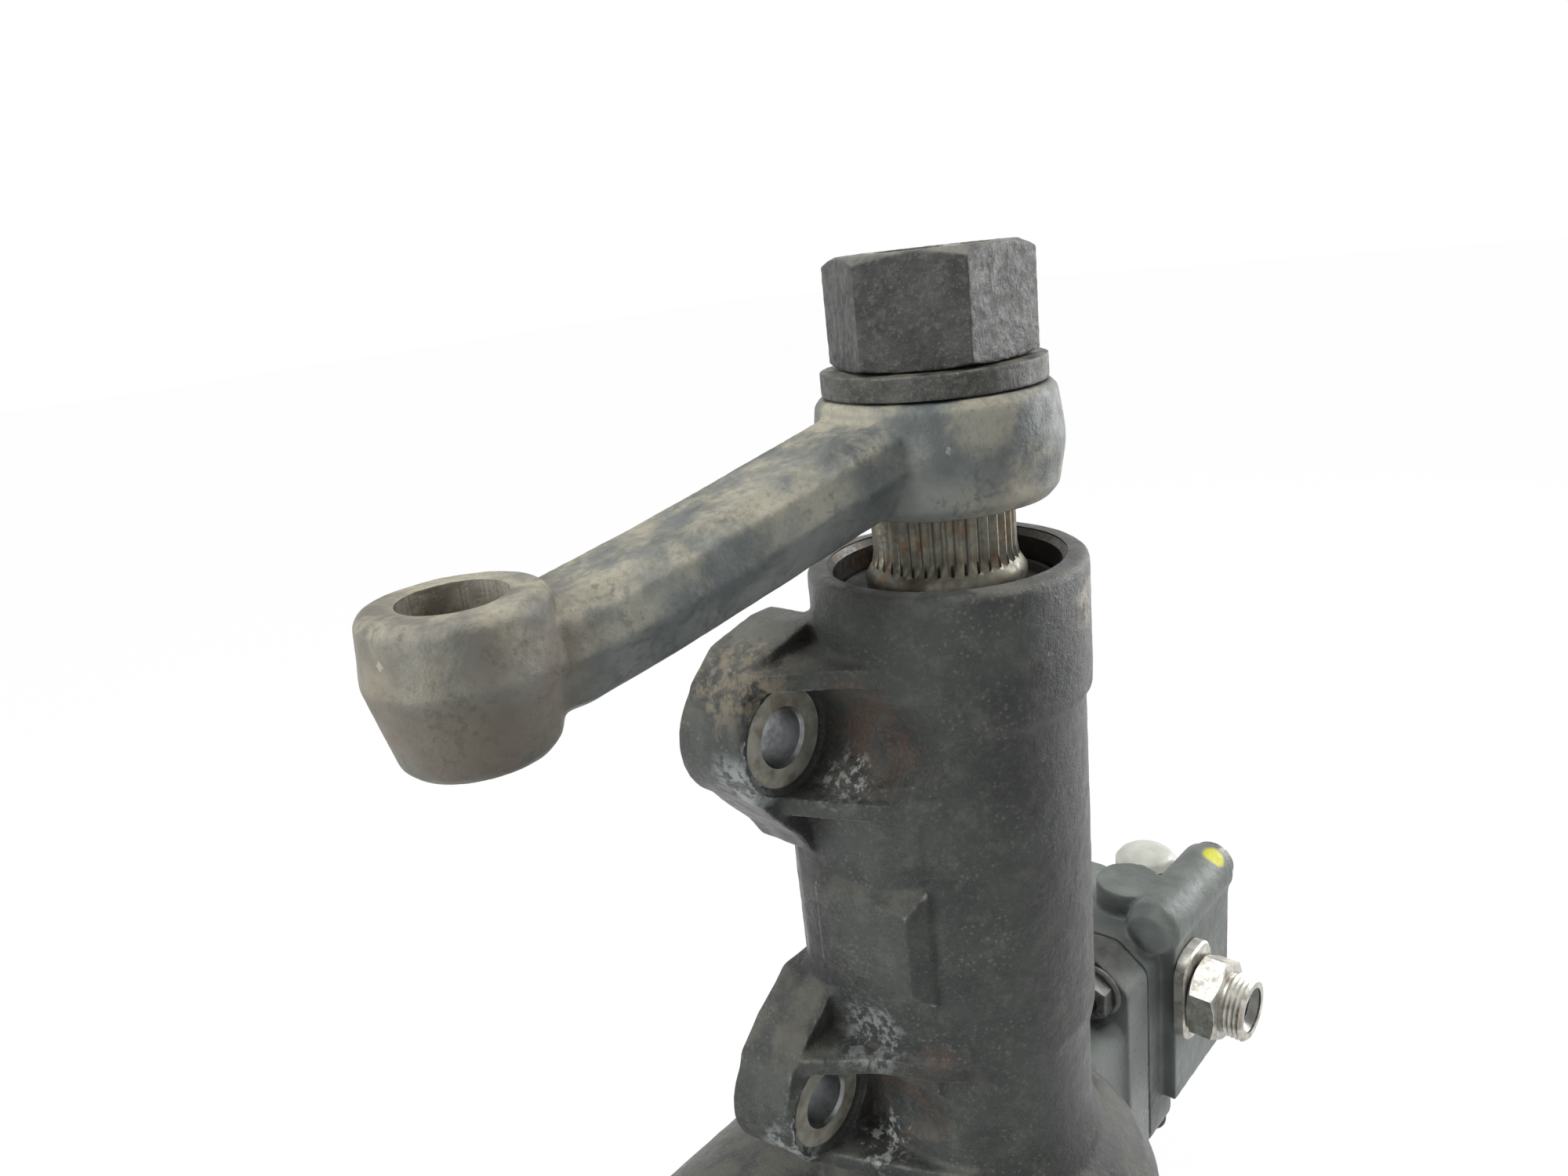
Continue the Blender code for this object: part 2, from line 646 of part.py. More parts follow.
def make_sector_shaft():
    """Thread end, splines, journals, sector gear and the pocket for the adjuster."""
    spline_top = ARM_TOP - 1.0
    spline_bottom = MOUTH_Z - 1.0
    profile = [(0, 0), (THREAD_R - 1.2, 0), (THREAD_R, -1.2), (THREAD_R, spline_top)]
    profile += [(THREAD_R + 0.6, spline_top), (THREAD_R + 0.6, spline_bottom + 3)]
    profile += [(SHAFT_R - 1.2, spline_bottom)]
    profile += [(SHAFT_R, spline_bottom - 2), (SHAFT_R, SECTOR_BOTTOM_Z + 2)]
    profile += [(LOWER_JOURNAL_R, SECTOR_BOTTOM_Z)]
    bottom = COVER_FACE_Z - 3.0
    profile += [(LOWER_JOURNAL_R, bottom + 1), (LOWER_JOURNAL_R - 1, bottom), (0, bottom)]
    shaft = turned("sector_shaft", profile, parent=SECTOR, finish=MACHINED_STEEL)
    serrations = spline_outline(SPLINE_COUNT, SPLINE_TIP_R, SPLINE_DEPTH)
    splines = slab("shaft_splines", serrations, spline_bottom + 1.4, spline_top - 1)
    gear = slab("sector_teeth", sector_outline(), SECTOR_BOTTOM_Z, SECTOR_TOP_Z)
    fuse(shaft, splines, gear)
    cut(shaft, rod("adjuster_pocket", POCKET_R, bottom - 2, bottom + 11))


def make_gear_housing():
    """The casting: neck, sector chamber, rack cylinder, mounting bosses, ribs, web and pad."""
    housing = turned("gear_housing", neck_profile(), parent=HOUSING, finish=PAINTED_IRON, steps=24, ring=True)
    core_r = BORE_R - 8
    barrel_profile = [(core_r, BARREL_RIGHT - 2), (BARREL_R, BARREL_RIGHT - 2), (BARREL_R, BARREL_LEFT + 14)]
    barrel_profile += [(BARREL_R + 1.8, BARREL_LEFT + 11), (BARREL_R + 1.8, BARREL_LEFT + 1.5)]
    barrel_profile += [(BARREL_R + 0.3, BARREL_LEFT), (core_r, BARREL_LEFT)]
    barrel = turned("barrel", barrel_profile, WORM_AXIS, "X", steps=26, ring=True)
    flange_left = BARREL_RIGHT - HOUSING_FLANGE
    flange = slab("housing_flange", across_x(flange_outline()), flange_left, BARREL_RIGHT, WORM_AXIS, "X")
    passage_low = (ROOT_R + 2, FLANGE_NEAR_Y + 2, WORM_Z - 24)
    passage_high = (BARREL_RIGHT - 6, WORM_Y + 6, WORM_Z + 28)
    passage = box("oil_passage", passage_low, passage_high, bevel=6.0)
    fuse(housing, barrel, flange, passage)
    for level, label in ((MOUNT_UPPER_Z, "upper"), (MOUNT_LOWER_Z, "lower")):
        add_mount_boss(housing, level, label)
    add_web_and_pad(housing)
    add_third_lug(housing)
    face_low = (BARREL_LEFT - 4, MOUNT_FACE_Y, WORM_Z + BARREL_R + 0.5)
    face_high = (BARREL_RIGHT, MOUNT_FACE_Y + 30, MOUTH_Z + 3)
    cut(housing, box("machined_face", face_low, face_high))
    cut_bores(housing)
    for level, label in ((MOUNT_UPPER_Z, "upper"), (MOUNT_LOWER_Z, "lower")):
        seat_at = (MOUNT_X, 0, level)
        pocket = rod(label + "_pocket", SEAT_R, SEAT_Y - 63, SEAT_Y, seat_at, "Y", steps=20)
        hole = rod(label + "_hole", MOUNT_HOLE_R, 0, MOUNT_FACE_Y + 2, seat_at, "Y")
        cut(housing, pocket, hole)
    third_at = (THIRD_LUG_X, 0, THIRD_LUG_Z)
    cut(housing, rod("third_hole", MOUNT_HOLE_R, THIRD_SEAT_Y - 2, MOUNT_FACE_Y + 2, third_at, "Y"))
    thread_top = COVER_FACE_Z + 12.5
    for index, (x, y) in enumerate(cover_bolt_places()):
        cut(housing, bolt_hole(f"cover_thread_{index}", COVER_FACE_Z - 1, thread_top, (x, y, 0), "Z"))
    for index, (y, z) in enumerate(flange_bolt_places()):
        drill_left = BARREL_RIGHT - HOUSING_FLANGE + 1
        if index == 0:
            drill_left -= 2
        cut(housing, bolt_hole(f"valve_thread_{index}", drill_left, BARREL_RIGHT + 1, (0, y, z), "X"))


def bolt_hole(name, low, high, at, axis):
    """Cutter for a bolt's hole."""
    return rod(name, BOLT_R + GAP, low, high, at, axis, steps=8)


def neck_profile():
    """Collar, neck with its waist, rounded shoulder over the sector chamber, and the cover's flange."""
    core_r = RELIEF_BORE_R - 6
    top = CHAMBER_TOP_Z
    profile = [(core_r, MOUTH_Z), (COLLAR_R - 1.2, MOUTH_Z), (COLLAR_R, MOUTH_Z - 1.2)]
    profile += [(COLLAR_R, MOUTH_Z - COLLAR_HEIGHT + 1.0), (NECK_R, MOUTH_Z - COLLAR_HEIGHT - 1.2)]
    profile += [(NECK_R, top + WAIST_TOP + 7), (NECK_WAIST_R, top + WAIST_TOP)]
    profile += [(NECK_WAIST_R, top + WAIST_BOTTOM)]
    profile += [(NECK_WAIST_R + 2.2, top + 23.5), (NECK_WAIST_R + 8.0, top + 18.5)]
    profile += [(CHAMBER_OUT_R - 4.0, top + 13.5), (CHAMBER_OUT_R - 0.8, top + 7), (CHAMBER_OUT_R, top)]
    profile += [(CHAMBER_OUT_R + 1, COVER_FACE_Z + 18), (COVER_R, COVER_FACE_Z + 12)]
    return profile + [(COVER_R, COVER_FACE_Z), (core_r, COVER_FACE_Z)]


def flange_outline():
    """Rounded outline of the joint between gear housing and valve housing, as (y, z)."""
    corners = [
        (FLANGE_NEAR_Y, FLANGE_LOW_Z + 14),
        (FLANGE_NEAR_Y, FLANGE_HIGH_Z - 4),
        (FLANGE_NEAR_Y + 10, FLANGE_HIGH_Z + 4),
        (FLANGE_FAR_Y, FLANGE_HIGH_Z),
        (FLANGE_FAR_Y, FLANGE_LOW_Z),
        (FLANGE_NEAR_Y + 12, FLANGE_LOW_Z),
    ]
    return rounded(corners, 5.0)


def flange_bolt_places():
    """Centres of the four flange bolts as (y, z); the first enters from the gear housing's side."""
    near = FLANGE_NEAR_Y + FLANGE_NEAR_INSET
    far = FLANGE_FAR_Y - FLANGE_BOLT_INSET
    high = FLANGE_HIGH_Z - FLANGE_BOLT_INSET
    low = FLANGE_LOW_Z + FLANGE_BOLT_INSET
    return [(near, high + 3.5), (near, low), (far, high), (far, low)]


def cover_bolt_places():
    """Centres of the four side cover bolts, as (x, y)."""
    return circle(COVER_BOLT_CIRCLE_R, 4, pi / 4)


def add_mount_boss(housing, level, label):
    """A drafted boss on the chassis side, its bridge to the neck and a rib above and below it."""
    boss_at = (MOUNT_X, 0, level)
    boss = cone(label + "_boss", BOSS_FRONT_R, BOSS_REAR_R, SEAT_Y - 1.2, MOUNT_FACE_Y + 3, boss_at, "Y")
    outer = BOSS_FRONT_R + RIB_THICKNESS - 0.6
    bridge_low = (MOUNT_X, SEAT_Y - 2, level - outer)
    bridge = box(label + "_bridge", bridge_low, (-4, MOUNT_FACE_Y + 2, level + outer), bevel=1.5)
    fuse(housing, boss, bridge)
    outline = [(MOUNT_X - 8.5, SEAT_Y + 7), (MOUNT_X - 6.5, SEAT_Y - 1), (-31.5, 0.0), (-28.5, -10.0)]
    outline += [(-8, -6), (-8, 26)]
    half = RIB_THICKNESS / 2
    for side, name in ((1, "rib_over"), (-1, "rib_under")):
        middle = level + side * (outer - half)
        fuse(housing, slab(f"{label}_{name}", list(reversed(outline)), middle - half, middle + half))


def add_web_and_pad(housing):
    """The web between the two bosses and the raised blank pad on its side."""
    outline = [(WEB_FACE_X, -2), (-3, -2), (-3, MOUNT_FACE_Y + 1), (-19, MOUNT_FACE_Y + 1)]
    outline += [(-26.5, MOUNT_FACE_Y - 4), (-30.4, MOUNT_FACE_Y - 9), (WEB_FACE_X, MOUNT_FACE_Y - 13)]
    web = slab("mount_web", outline, MOUNT_LOWER_Z + 4, MOUNT_UPPER_Z - 4)
    middle = (MOUNT_UPPER_Z + MOUNT_LOWER_Z) / 2
    pad_low = (PAD_FACE_X, PAD_NEAR_Y, middle - PAD_HEIGHT / 2)
    pad_high = (PAD_FACE_X + 10, PAD_NEAR_Y + PAD_WIDTH, middle + PAD_HEIGHT / 2)
    fuse(housing, web, box("blank_pad", pad_low, pad_high, bevel=1.6))


def add_third_lug(housing):
    """The third mounting lug and the plate that ties it to the neck and the rack cylinder."""
    lug_at = (THIRD_LUG_X, 0, THIRD_LUG_Z)
    lug = cone("third_lug", THIRD_LUG_R - 1.5, THIRD_LUG_R, THIRD_SEAT_Y, MOUNT_FACE_Y + 3, lug_at, "Y")
    plate_low = WORM_Z + 28
    plate = [(0, THIRD_LUG_Z + 13), (THIRD_LUG_X - 8, THIRD_LUG_Z + 13), (THIRD_LUG_X + 13, THIRD_LUG_Z - 6)]
    plate += [(THIRD_LUG_X + 10, plate_low), (0, plate_low)]
    tie = slab("third_plate", across_y(plate), MOUNT_FACE_Y - THIRD_PLATE, MOUNT_FACE_Y + 4, (0, 0, 0), "Y")
    fuse(housing, tie, lug)


def cut_bores(housing):
    """The stepped bore along the sector shaft, the chamber and the rack cylinder bore."""
    bearing_top = SEAL_FLOOR_Z - UPPER_BEARING_LENGTH - 2
    profile = [(0, MOUTH_Z + 3), (MOUTH_BORE_R, MOUTH_Z + 3), (MOUTH_BORE_R, SEAL_FLOOR_Z)]
    profile += [(BEARING_BORE_R, SEAL_FLOOR_Z), (BEARING_BORE_R, bearing_top), (RELIEF_BORE_R, bearing_top)]
    lower_top = CHAMBER_TOP_Z + LOWER_BEARING_LENGTH + 2
    profile += [(RELIEF_BORE_R, lower_top), (BEARING_BORE_R, lower_top), (BEARING_BORE_R, CHAMBER_TOP_Z)]
    profile += [(CHAMBER_R, CHAMBER_TOP_Z), (CHAMBER_R, COVER_FACE_Z - 3), (0, COVER_FACE_Z - 3)]
    shaft_bore = turned("shaft_bore", profile, steps=24, spin=180 / 24)
    groove_left = BARREL_LEFT + RING_FROM_END
    groove_right = END_PLUG_LEFT
    bore = [(0, BARREL_RIGHT + 3), (BORE_R, BARREL_RIGHT + 3), (BORE_R, groove_right)]
    bore += [(BORE_R + 1.4, groove_right), (BORE_R + 1.4, groove_left), (BORE_R, groove_left)]
    bore += [(BORE_R, BARREL_LEFT - 3), (0, BARREL_LEFT - 3)]
    cut(housing, shaft_bore, turned("piston_bore", bore, WORM_AXIS, "X", steps=26, spin=180 / 26))


def make_neck_parts():
    """Dust seal, retaining ring, oil seal and needle bearings in the neck."""
    floor = SEAL_FLOOR_Z + GAP
    out = MOUTH_BORE_R - GAP
    inside = SHAFT_R + GAP
    seal_height = 9.0
    ring_height = 1.6
    oil_seal = [(out, floor + seal_height), (out, floor), (inside + 1.6, floor), (inside, floor + 3)]
    oil_seal += [(inside, floor + 5), (inside + 2, floor + 6), (out - 3, floor + 7)]
    oil_seal += [(out - 3, floor + seal_height)]
    turned("output_oil_seal", oil_seal, parent=HOUSING, finish=BLACK_RUBBER, ring=True)
    ring_low = floor + seal_height + GAP
    ring_high = ring_low + ring_height
    tube("output_retaining_ring", out, out - 3.4, ring_low, ring_high, parent=HOUSING, finish=DARK_STEEL)
    seal_low = ring_high + GAP
    dust = [(out, seal_low + 4.6), (out, seal_low), (inside + 0.6, seal_low), (inside, seal_low + 2.4)]
    dust += [(inside + 1.2, seal_low + 3.2), (out - 1.8, seal_low + 2.6), (out - 1.8, seal_low + 4.6)]
    turned("output_dust_seal", dust, parent=HOUSING, finish=BLACK_RUBBER, ring=True)
    upper = SEAL_FLOOR_Z - 2
    lower = CHAMBER_TOP_Z + LOWER_BEARING_LENGTH
    needle_bearing("upper_needle_bearing", upper - UPPER_BEARING_LENGTH + 1, upper)
    needle_bearing("lower_needle_bearing", CHAMBER_TOP_Z + 1, lower)


def needle_bearing(name, low, high):
    """A needle bearing between the neck's bore and the sector shaft."""
    tube(name, BEARING_BORE_R - GAP, SHAFT_R + GAP, low, high, parent=HOUSING, finish=MACHINED_STEEL)


def make_side_cover():
    """Side cover with its hub and bush, seal, bolts, adjuster screw and lock nut."""
    top = COVER_FACE_Z - GAP
    hub_r = LOWER_JOURNAL_R + COVER_HUB
    piston_reach = sqrt(max(0.0, BORE_R**2 - (WORM_Y - hub_r) ** 2))
    hub_top = min(SECTOR_BOTTOM_Z, WORM_Z - piston_reach) - 1.5
    bush_r = LOWER_JOURNAL_R + BUSH_WALL
    floor = COVER_FACE_Z - 5.0
    profile = [(hub_r, hub_top), (hub_r, COVER_FACE_Z + 3), (CHAMBER_R - GAP, COVER_FACE_Z + 3)]
    profile += [(CHAMBER_R - GAP, top), (COVER_R, top), (COVER_R, COVER_OUT_Z + 2)]
    profile += [(COVER_R - 2, COVER_OUT_Z)]
    profile += [(bush_r + 2.4, COVER_OUT_Z), (bush_r + 0.4, COVER_OUT_Z - 3)]
    profile += [(ADJUSTER_R + GAP, COVER_OUT_Z - 3)]
    profile += [(ADJUSTER_R + GAP, floor), (bush_r + GAP, floor), (bush_r + GAP, hub_top)]
    cover = turned("side_cover", profile, parent=HOUSING, finish=PAINTED_IRON, steps=20, ring=True)
    tube("cover_bush", bush_r, LOWER_JOURNAL_R + GAP, floor + GAP, hub_top - 1, parent=HOUSING, finish=BRONZE)
    seal_z = COVER_FACE_Z + 3 + GAP
    seal_r = CHAMBER_R - GAP
    tube("side_cover_seal", seal_r, seal_r - 3.7, seal_z, seal_z + 3, parent=HOUSING, finish=BLACK_RUBBER)
    for index, (x, y) in enumerate(cover_bolt_places()):
        cut(cover, bolt_hole(f"cover_hole_{index}", COVER_OUT_Z - 1, top + 1, (x, y, 0), "Z"))
        hex_bolt(f"cover_bolt_{index + 1}", (x, y, COVER_OUT_Z - GAP), "-Z", COVER_THICKNESS + 12)
    make_adjuster()


def make_adjuster():
    """Adjuster screw in the sector shaft's pocket and its lock nut on the cover."""
    head_z = COVER_FACE_Z + 6.5
    foot = COVER_OUT_Z - 15.0
    head_r = POCKET_R - GAP
    screw = [(0, head_z), (head_r - 0.4, head_z), (head_r, head_z - 0.4), (head_r, head_z - 5)]
    screw += [(ADJUSTER_R, head_z - 5), (ADJUSTER_R, foot + 1), (ADJUSTER_R - 1, foot), (0, foot)]
    adjuster = turned("adjuster_screw", screw, parent=HOUSING, finish=PLATED_STEEL)
    cut(adjuster, slab("adjuster_socket", hexagon(5.0), foot - 1, foot + 4))
    nut_top = COVER_OUT_Z - 3 - GAP
    nut = slab("adjuster_lock_nut", hexagon(19.0), nut_top - 8, nut_top, parent=HOUSING, finish=PLATED_STEEL)
    cut(nut, rod("lock_nut_bore", ADJUSTER_R + GAP, nut_top - 9, nut_top + 1, steps=18))


def hex_bolt(name, at, axis, shank, across=13.0, head=7.0):
    """A flanged hexagon bolt whose head points along the axis from its seat."""
    profile = [(0, 1.6), (across * 0.62, 1.4), (across * 0.68, 0), (BOLT_R, 0), (BOLT_R, -shank + 0.8)]
    profile += [(BOLT_R - 0.8, -shank), (0, -shank)]
    bolt = turned(name, profile, at, axis, HOUSING, DARK_STEEL, steps=8)
    fuse(bolt, slab(name + "_head", hexagon(across), 0.8, head, at, axis))


def make_rack_piston():
    """Piston with rack teeth, ball track, return pocket, ring groove and the worm's clearance."""
    radius = BORE_R - GAP
    ring_right = PISTON_RIGHT - 4.0
    ring_left = ring_right - 3.0
    core_r = WORM_R - 5
    profile = [(core_r, PISTON_RIGHT), (radius - 1, PISTON_RIGHT), (radius, PISTON_RIGHT - 1)]
    profile += [(radius, ring_right)]
    profile += [(radius - 2.8, ring_right), (radius - 2.8, ring_left), (radius, ring_left)]
    profile += [(radius, PISTON_LEFT + 1), (radius - 1, PISTON_LEFT), (core_r, PISTON_LEFT)]
    piston = turned("rack_piston", profile, WORM_AXIS, "X", RACK, MACHINED_STEEL, steps=26, ring=True)
    rack = slab("rack_gaps", rack_gap_outline(), SECTOR_BOTTOM_Z - 20, SECTOR_TOP_Z + 20)
    track = (BALL_START - TRACK_RUN_OUT, BALL_START + BALL_TURNS * WORM_LEAD + TRACK_RUN_OUT)
    screw_bore = helical_body("worm_bore", WORM_BORE_FLOOR, PISTON_RIGHT + 2, track, WORM_R + 0.6, True)
    plug_right = WORM_BORE_FLOOR + 1
    plug_seat = rod("plug_bore", PISTON_PLUG_R, PISTON_LEFT - 2, plug_right, WORM_AXIS, "X", steps=18)
    guide_low = WORM_R + 8.5
    pocket_low = (track[0], WORM_Y + guide_low, WORM_Z - 8)
    pocket_high = (track[1] - 1.75, WORM_Y + BORE_R + 3, WORM_Z + 8)
    cut(piston, rack, screw_bore, plug_seat, box("return_pocket", pocket_low, pocket_high))
    plug_r = PISTON_PLUG_R - GAP
    rod("piston_end_plug", plug_r, PISTON_LEFT + 0.5, plug_right - GAP, WORM_AXIS, "X", RACK, MACHINED_STEEL)
    ring_place = (ring_left + GAP, ring_right - GAP)
    tube("piston_ring", radius, radius - 2.5, *ring_place, WORM_AXIS, "X", RACK, DARK_STEEL, 26)
    ball_beads()
    guide_from = (pocket_low[0] + 2, WORM_Y + guide_low + GAP, WORM_Z - 5.5)
    guide_to = (pocket_high[0] - 2, WORM_Y + guide_low + 8, WORM_Z + 5.5)
    box("ball_return_guide", guide_from, guide_to, RACK, PLATED_STEEL, bevel=3.5)


def ball_beads():
    """The balls in their track, as one string of touching beads."""
    per_ball = 2
    length_per_turn = hypot(2 * pi * BALL_CIRCLE_R, WORM_LEAD)
    balls_per_turn = round(length_per_turn / (2 * BALL_R))
    neck_r = 0.9

    def bead_radius(index):
        offset = (index % per_ball) / per_ball * 2 - 1
        return max(neck_r, BALL_R * sqrt(max(0.0, 1 - offset * offset)))

    per_turn = per_ball * balls_per_turn
    sweep = (BALL_START, BALL_TURNS, per_turn, 4, BALL_CIRCLE_R)
    helix_tube("recirculating_balls", bead_radius, *sweep, RACK, PLATED_STEEL)


def helical_body(name, low, high, track, plain_r, outward, parent=None, finish=None):
    """A round body on the worm axis with the helical ball track sunk in it, or standing out of it."""
    form = bmesh.new()
    around = 10
    per_lead = 6
    track_low, track_high = track
    rows = int((track_high - track_low) / WORM_LEAD * per_lead)
    levels = [track_low + (track_high - track_low) * row / rows for row in range(rows + 1)]
    run_out = 1.5
    if low < track_low:
        levels = [low, track_low - run_out] + levels
    if high > track_high:
        levels += [track_high + run_out, high]
    groove_r = BALL_R + TRACK_PLAY
    rings = []
    for along in levels:
        ring = []
        for step in range(around):
            angle = 2 * pi * (step + 0.5) / around
            from_track = (along - BALL_START) / WORM_LEAD - angle / (2 * pi)
            off = abs(from_track - round(from_track)) * WORM_LEAD
            depth = sqrt(max(0.0, groove_r**2 - off**2))
            radius = plain_r
            if off < groove_r and track_low <= along <= track_high:
                grooved = BALL_CIRCLE_R + depth if outward else BALL_CIRCLE_R - depth
                radius = max(plain_r, grooved) if outward else min(plain_r, grooved)
            ring.append(form.verts.new(Vector((radius * cos(angle), radius * sin(angle), along)) * MM))
        rings.append(ring)
    for first, second in zip(rings, rings[1:]):
        for step in range(around):
            following = (step + 1) % around
            form.faces.new((first[step], first[following], second[following], second[step]))
    bmesh.ops.triangulate(form, faces=form.faces)
    form.faces.new(list(reversed(rings[0])))
    form.faces.new(rings[-1])
    bmesh.ops.recalc_face_normals(form, faces=form.faces)
    mesh = bpy.data.meshes.new(name)
    form.to_mesh(mesh)
    form.free()
    return place(bpy.data.objects.new(name, mesh), WORM_AXIS, "X", parent, finish)


def make_worm():
    """Worm with its helical ball groove, journal and the cup that drives the valve sleeve."""
    thread = (WORM_LEFT, WORM_THREAD_RIGHT)
    worm = helical_body("worm_shaft", *thread, thread, WORM_R, False, INPUT, MACHINED_STEEL)
    bar_r = TORSION_BAR_R + GAP
    neck_left = WORM_THREAD_RIGHT - 3
    journal = [(SLEEVE_R - 4, CUP_RIGHT), (SLEEVE_R - 4, CUP_LEFT), (WORM_NECK_R, CUP_LEFT)]
    journal += [(WORM_NECK_R, neck_left)]
    journal += [(0, neck_left), (0, CUP_LEFT + 2), (bar_r, CUP_LEFT + 2), (bar_r, CUP_RIGHT)]
    fuse(worm, turned("worm_journal", journal, WORM_AXIS, "X", ring=True))
    bearing_place = (CUP_LEFT - 9.5, CUP_LEFT - GAP)
    bearing_in = WORM_NECK_R + GAP
    tube("worm_bearing", 18.0, bearing_in, *bearing_place, WORM_AXIS, "X", HOUSING, MACHINED_STEEL, 20)


def make_input_parts():
    """Valve sleeve with its rings, input shaft and torsion bar."""
    groove = 2.4
    ring_places = [SLEEVE_LEFT + 6.0 + 8.0 * index for index in range(3)]
    sleeve = [(SLEEVE_R, SLEEVE_RIGHT)]
    for middle in reversed(ring_places):
        sleeve += [(SLEEVE_R, middle + groove / 2), (SLEEVE_R - 1.4, middle + groove / 2)]
        sleeve += [(SLEEVE_R - 1.4, middle - groove / 2), (SLEEVE_R, middle - groove / 2)]
    sleeve += [(SLEEVE_R, SLEEVE_LEFT), (SLEEVE_R - 5.6, SLEEVE_LEFT), (SLEEVE_R - 5.6, SLEEVE_RIGHT)]
    turned("valve_sleeve", sleeve, WORM_AXIS, "X", INPUT, MACHINED_STEEL, steps=16, ring=True)
    for index, middle in enumerate(ring_places):
        ring_place = (middle - groove / 2 + GAP, middle + groove / 2 - GAP)
        name = f"sleeve_ring_{index + 1}"
        tube(name, SLEEVE_R, SLEEVE_R - 1.1, *ring_place, WORM_AXIS, "X", INPUT, BLACK_RUBBER)
    make_input_shaft()
    bar_end = INPUT_END_X - 7
    bar = [(0, bar_end), (TORSION_BAR_R, bar_end), (TORSION_BAR_R, bar_end - 19), (2.6, bar_end - 23)]
    bar += [(2.6, CUP_RIGHT + 6), (TORSION_BAR_R, CUP_RIGHT + 2), (TORSION_BAR_R, CUP_LEFT + 2.5)]
    bar += [(0, CUP_LEFT + 2.5)]
    turned("torsion_bar", bar, WORM_AXIS, "X", INPUT, MACHINED_STEEL, steps=12)


def make_input_shaft():
    """Input shaft: spool lands with their slots, seal journal and two bands of serrations."""
    land_r = SLEEVE_R - 5.9
    serration_x = INPUT_END_X - 26.0
    core_r = SERRATION_R - SERRATION_DEPTH - 0.4
    shaft = [(0, INPUT_END_X), (core_r - 1, INPUT_END_X), (core_r, INPUT_END_X - 1), (core_r, serration_x)]
    shaft += [(INPUT_SHAFT_R, serration_x - 1.4), (INPUT_SHAFT_R, SLEEVE_RIGHT - 1)]
    shaft += [(land_r, SLEEVE_RIGHT - 2)]
    shaft += [(land_r, SLEEVE_LEFT + 0.5), (0, SLEEVE_LEFT + 0.5)]
    stub = turned("input_shaft", shaft, WORM_AXIS, "X", INPUT, MACHINED_STEEL, steps=16)
    outline = spline_outline(SERRATION_COUNT, SERRATION_R, SERRATION_DEPTH)
    for low, high in ((serration_x - 0.8, INPUT_END_X - 17), (INPUT_END_X - 12, INPUT_END_X - 1.5)):
        fuse(stub, slab("serrations", outline, low, high, WORM_AXIS, "X"))
    bar_hole_r = TORSION_BAR_R + GAP
    cut(stub, rod("input_bar_hole", bar_hole_r, SLEEVE_LEFT - 2, INPUT_END_X - 6, WORM_AXIS, "X"))
    slots = 4
    for index in range(slots):
        angle = 2 * pi / slots * index
        at = Vector(WORM_AXIS) + Vector((0, cos(angle), sin(angle))) * land_r
        cut(stub, rod(f"valve_slot_{index}", 2.0, SLEEVE_LEFT + 5, SLEEVE_RIGHT - 7, at, "X", steps=8))


def make_valve_housing():
    """Valve housing: body with its spigot, flange, port block with a ledge, and bosses."""
    core_r = 12.0
    spigot_r = BORE_R - GAP
    body_r = VALVE_BODY_R
    profile = [(core_r, VALVE_BODY_RIGHT), (body_r - 2, VALVE_BODY_RIGHT), (body_r, VALVE_BODY_RIGHT - 2)]
    profile += [(body_r + 1, VALVE_LEFT + 2), (spigot_r, VALVE_LEFT + 1), (spigot_r, SPIGOT_LEFT + 1)]
    profile += [(BORE_R - 1.3, SPIGOT_LEFT), (core_r, SPIGOT_LEFT)]
    valve = turned("valve_housing", profile, WORM_AXIS, "X", HOUSING, PAINTED_IRON, steps=26, ring=True)
    flange_right = VALVE_LEFT + FLANGE_THICKNESS
    flange = slab("valve_flange", across_x(flange_outline()), VALVE_LEFT, flange_right, WORM_AXIS, "X")
    section = across_x(port_block_outline())
    block = slab("port_block", section, VALVE_LEFT + 8, PORT_BLOCK_RIGHT, WORM_AXIS, "X")
    relief_at = (0, RELIEF_Y, RELIEF_Z)
    relief_seat = PORT_BLOCK_RIGHT + 1.5
    relief = rod("relief_boss", RELIEF_BOSS_R, VALVE_LEFT + 6, relief_seat, relief_at, "X", steps=20)
    blind_at = (flange_right + 5.7, RELIEF_Y + 14.0, 0)
    blind = cone("blind_boss", 12.0, 10.5, PORT_LEDGE_Z - 6, PORT_BLOCK_HIGH_Z + 4, blind_at)
    return_at = (RETURN_X, RETURN_Y, 0)
    neck_low = PORT_LEDGE_Z - 28
    neck = cone("return_boss", RETURN_CAP_R + 1.3, RETURN_CAP_R + 0.5, neck_low, RETURN_SEAT_Z, return_at)
    fuse(valve, flange, block, relief, blind, neck)
    cut_valve_bores(valve, relief_at, return_at)
    seat_x = flange_right + GAP
    for index, (y, z) in enumerate(flange_bolt_places()):
        name = f"valve_bolt_{index + 1}"
        if index == 0:
            cut(valve, bolt_hole("valve_blind_hole", VALVE_LEFT - 1, VALVE_LEFT + 7, (0, y, z), "X"))
            hex_bolt(name, (BARREL_RIGHT - HOUSING_FLANGE - GAP, y, z), "-X", HOUSING_FLANGE + 6.5)
            continue
        spot = rod(f"valve_spot_{index}", 9.6, flange_right, PORT_BLOCK_RIGHT + 9, (0, y, z), "X", steps=12)
        cut(valve, spot, bolt_hole(f"valve_hole_{index}", VALVE_LEFT - 1, seat_x + 1, (0, y, z), "X"))
        hex_bolt(name, (seat_x, y, z), "X", FLANGE_THICKNESS + 12)
    make_relief_plug(relief_at)


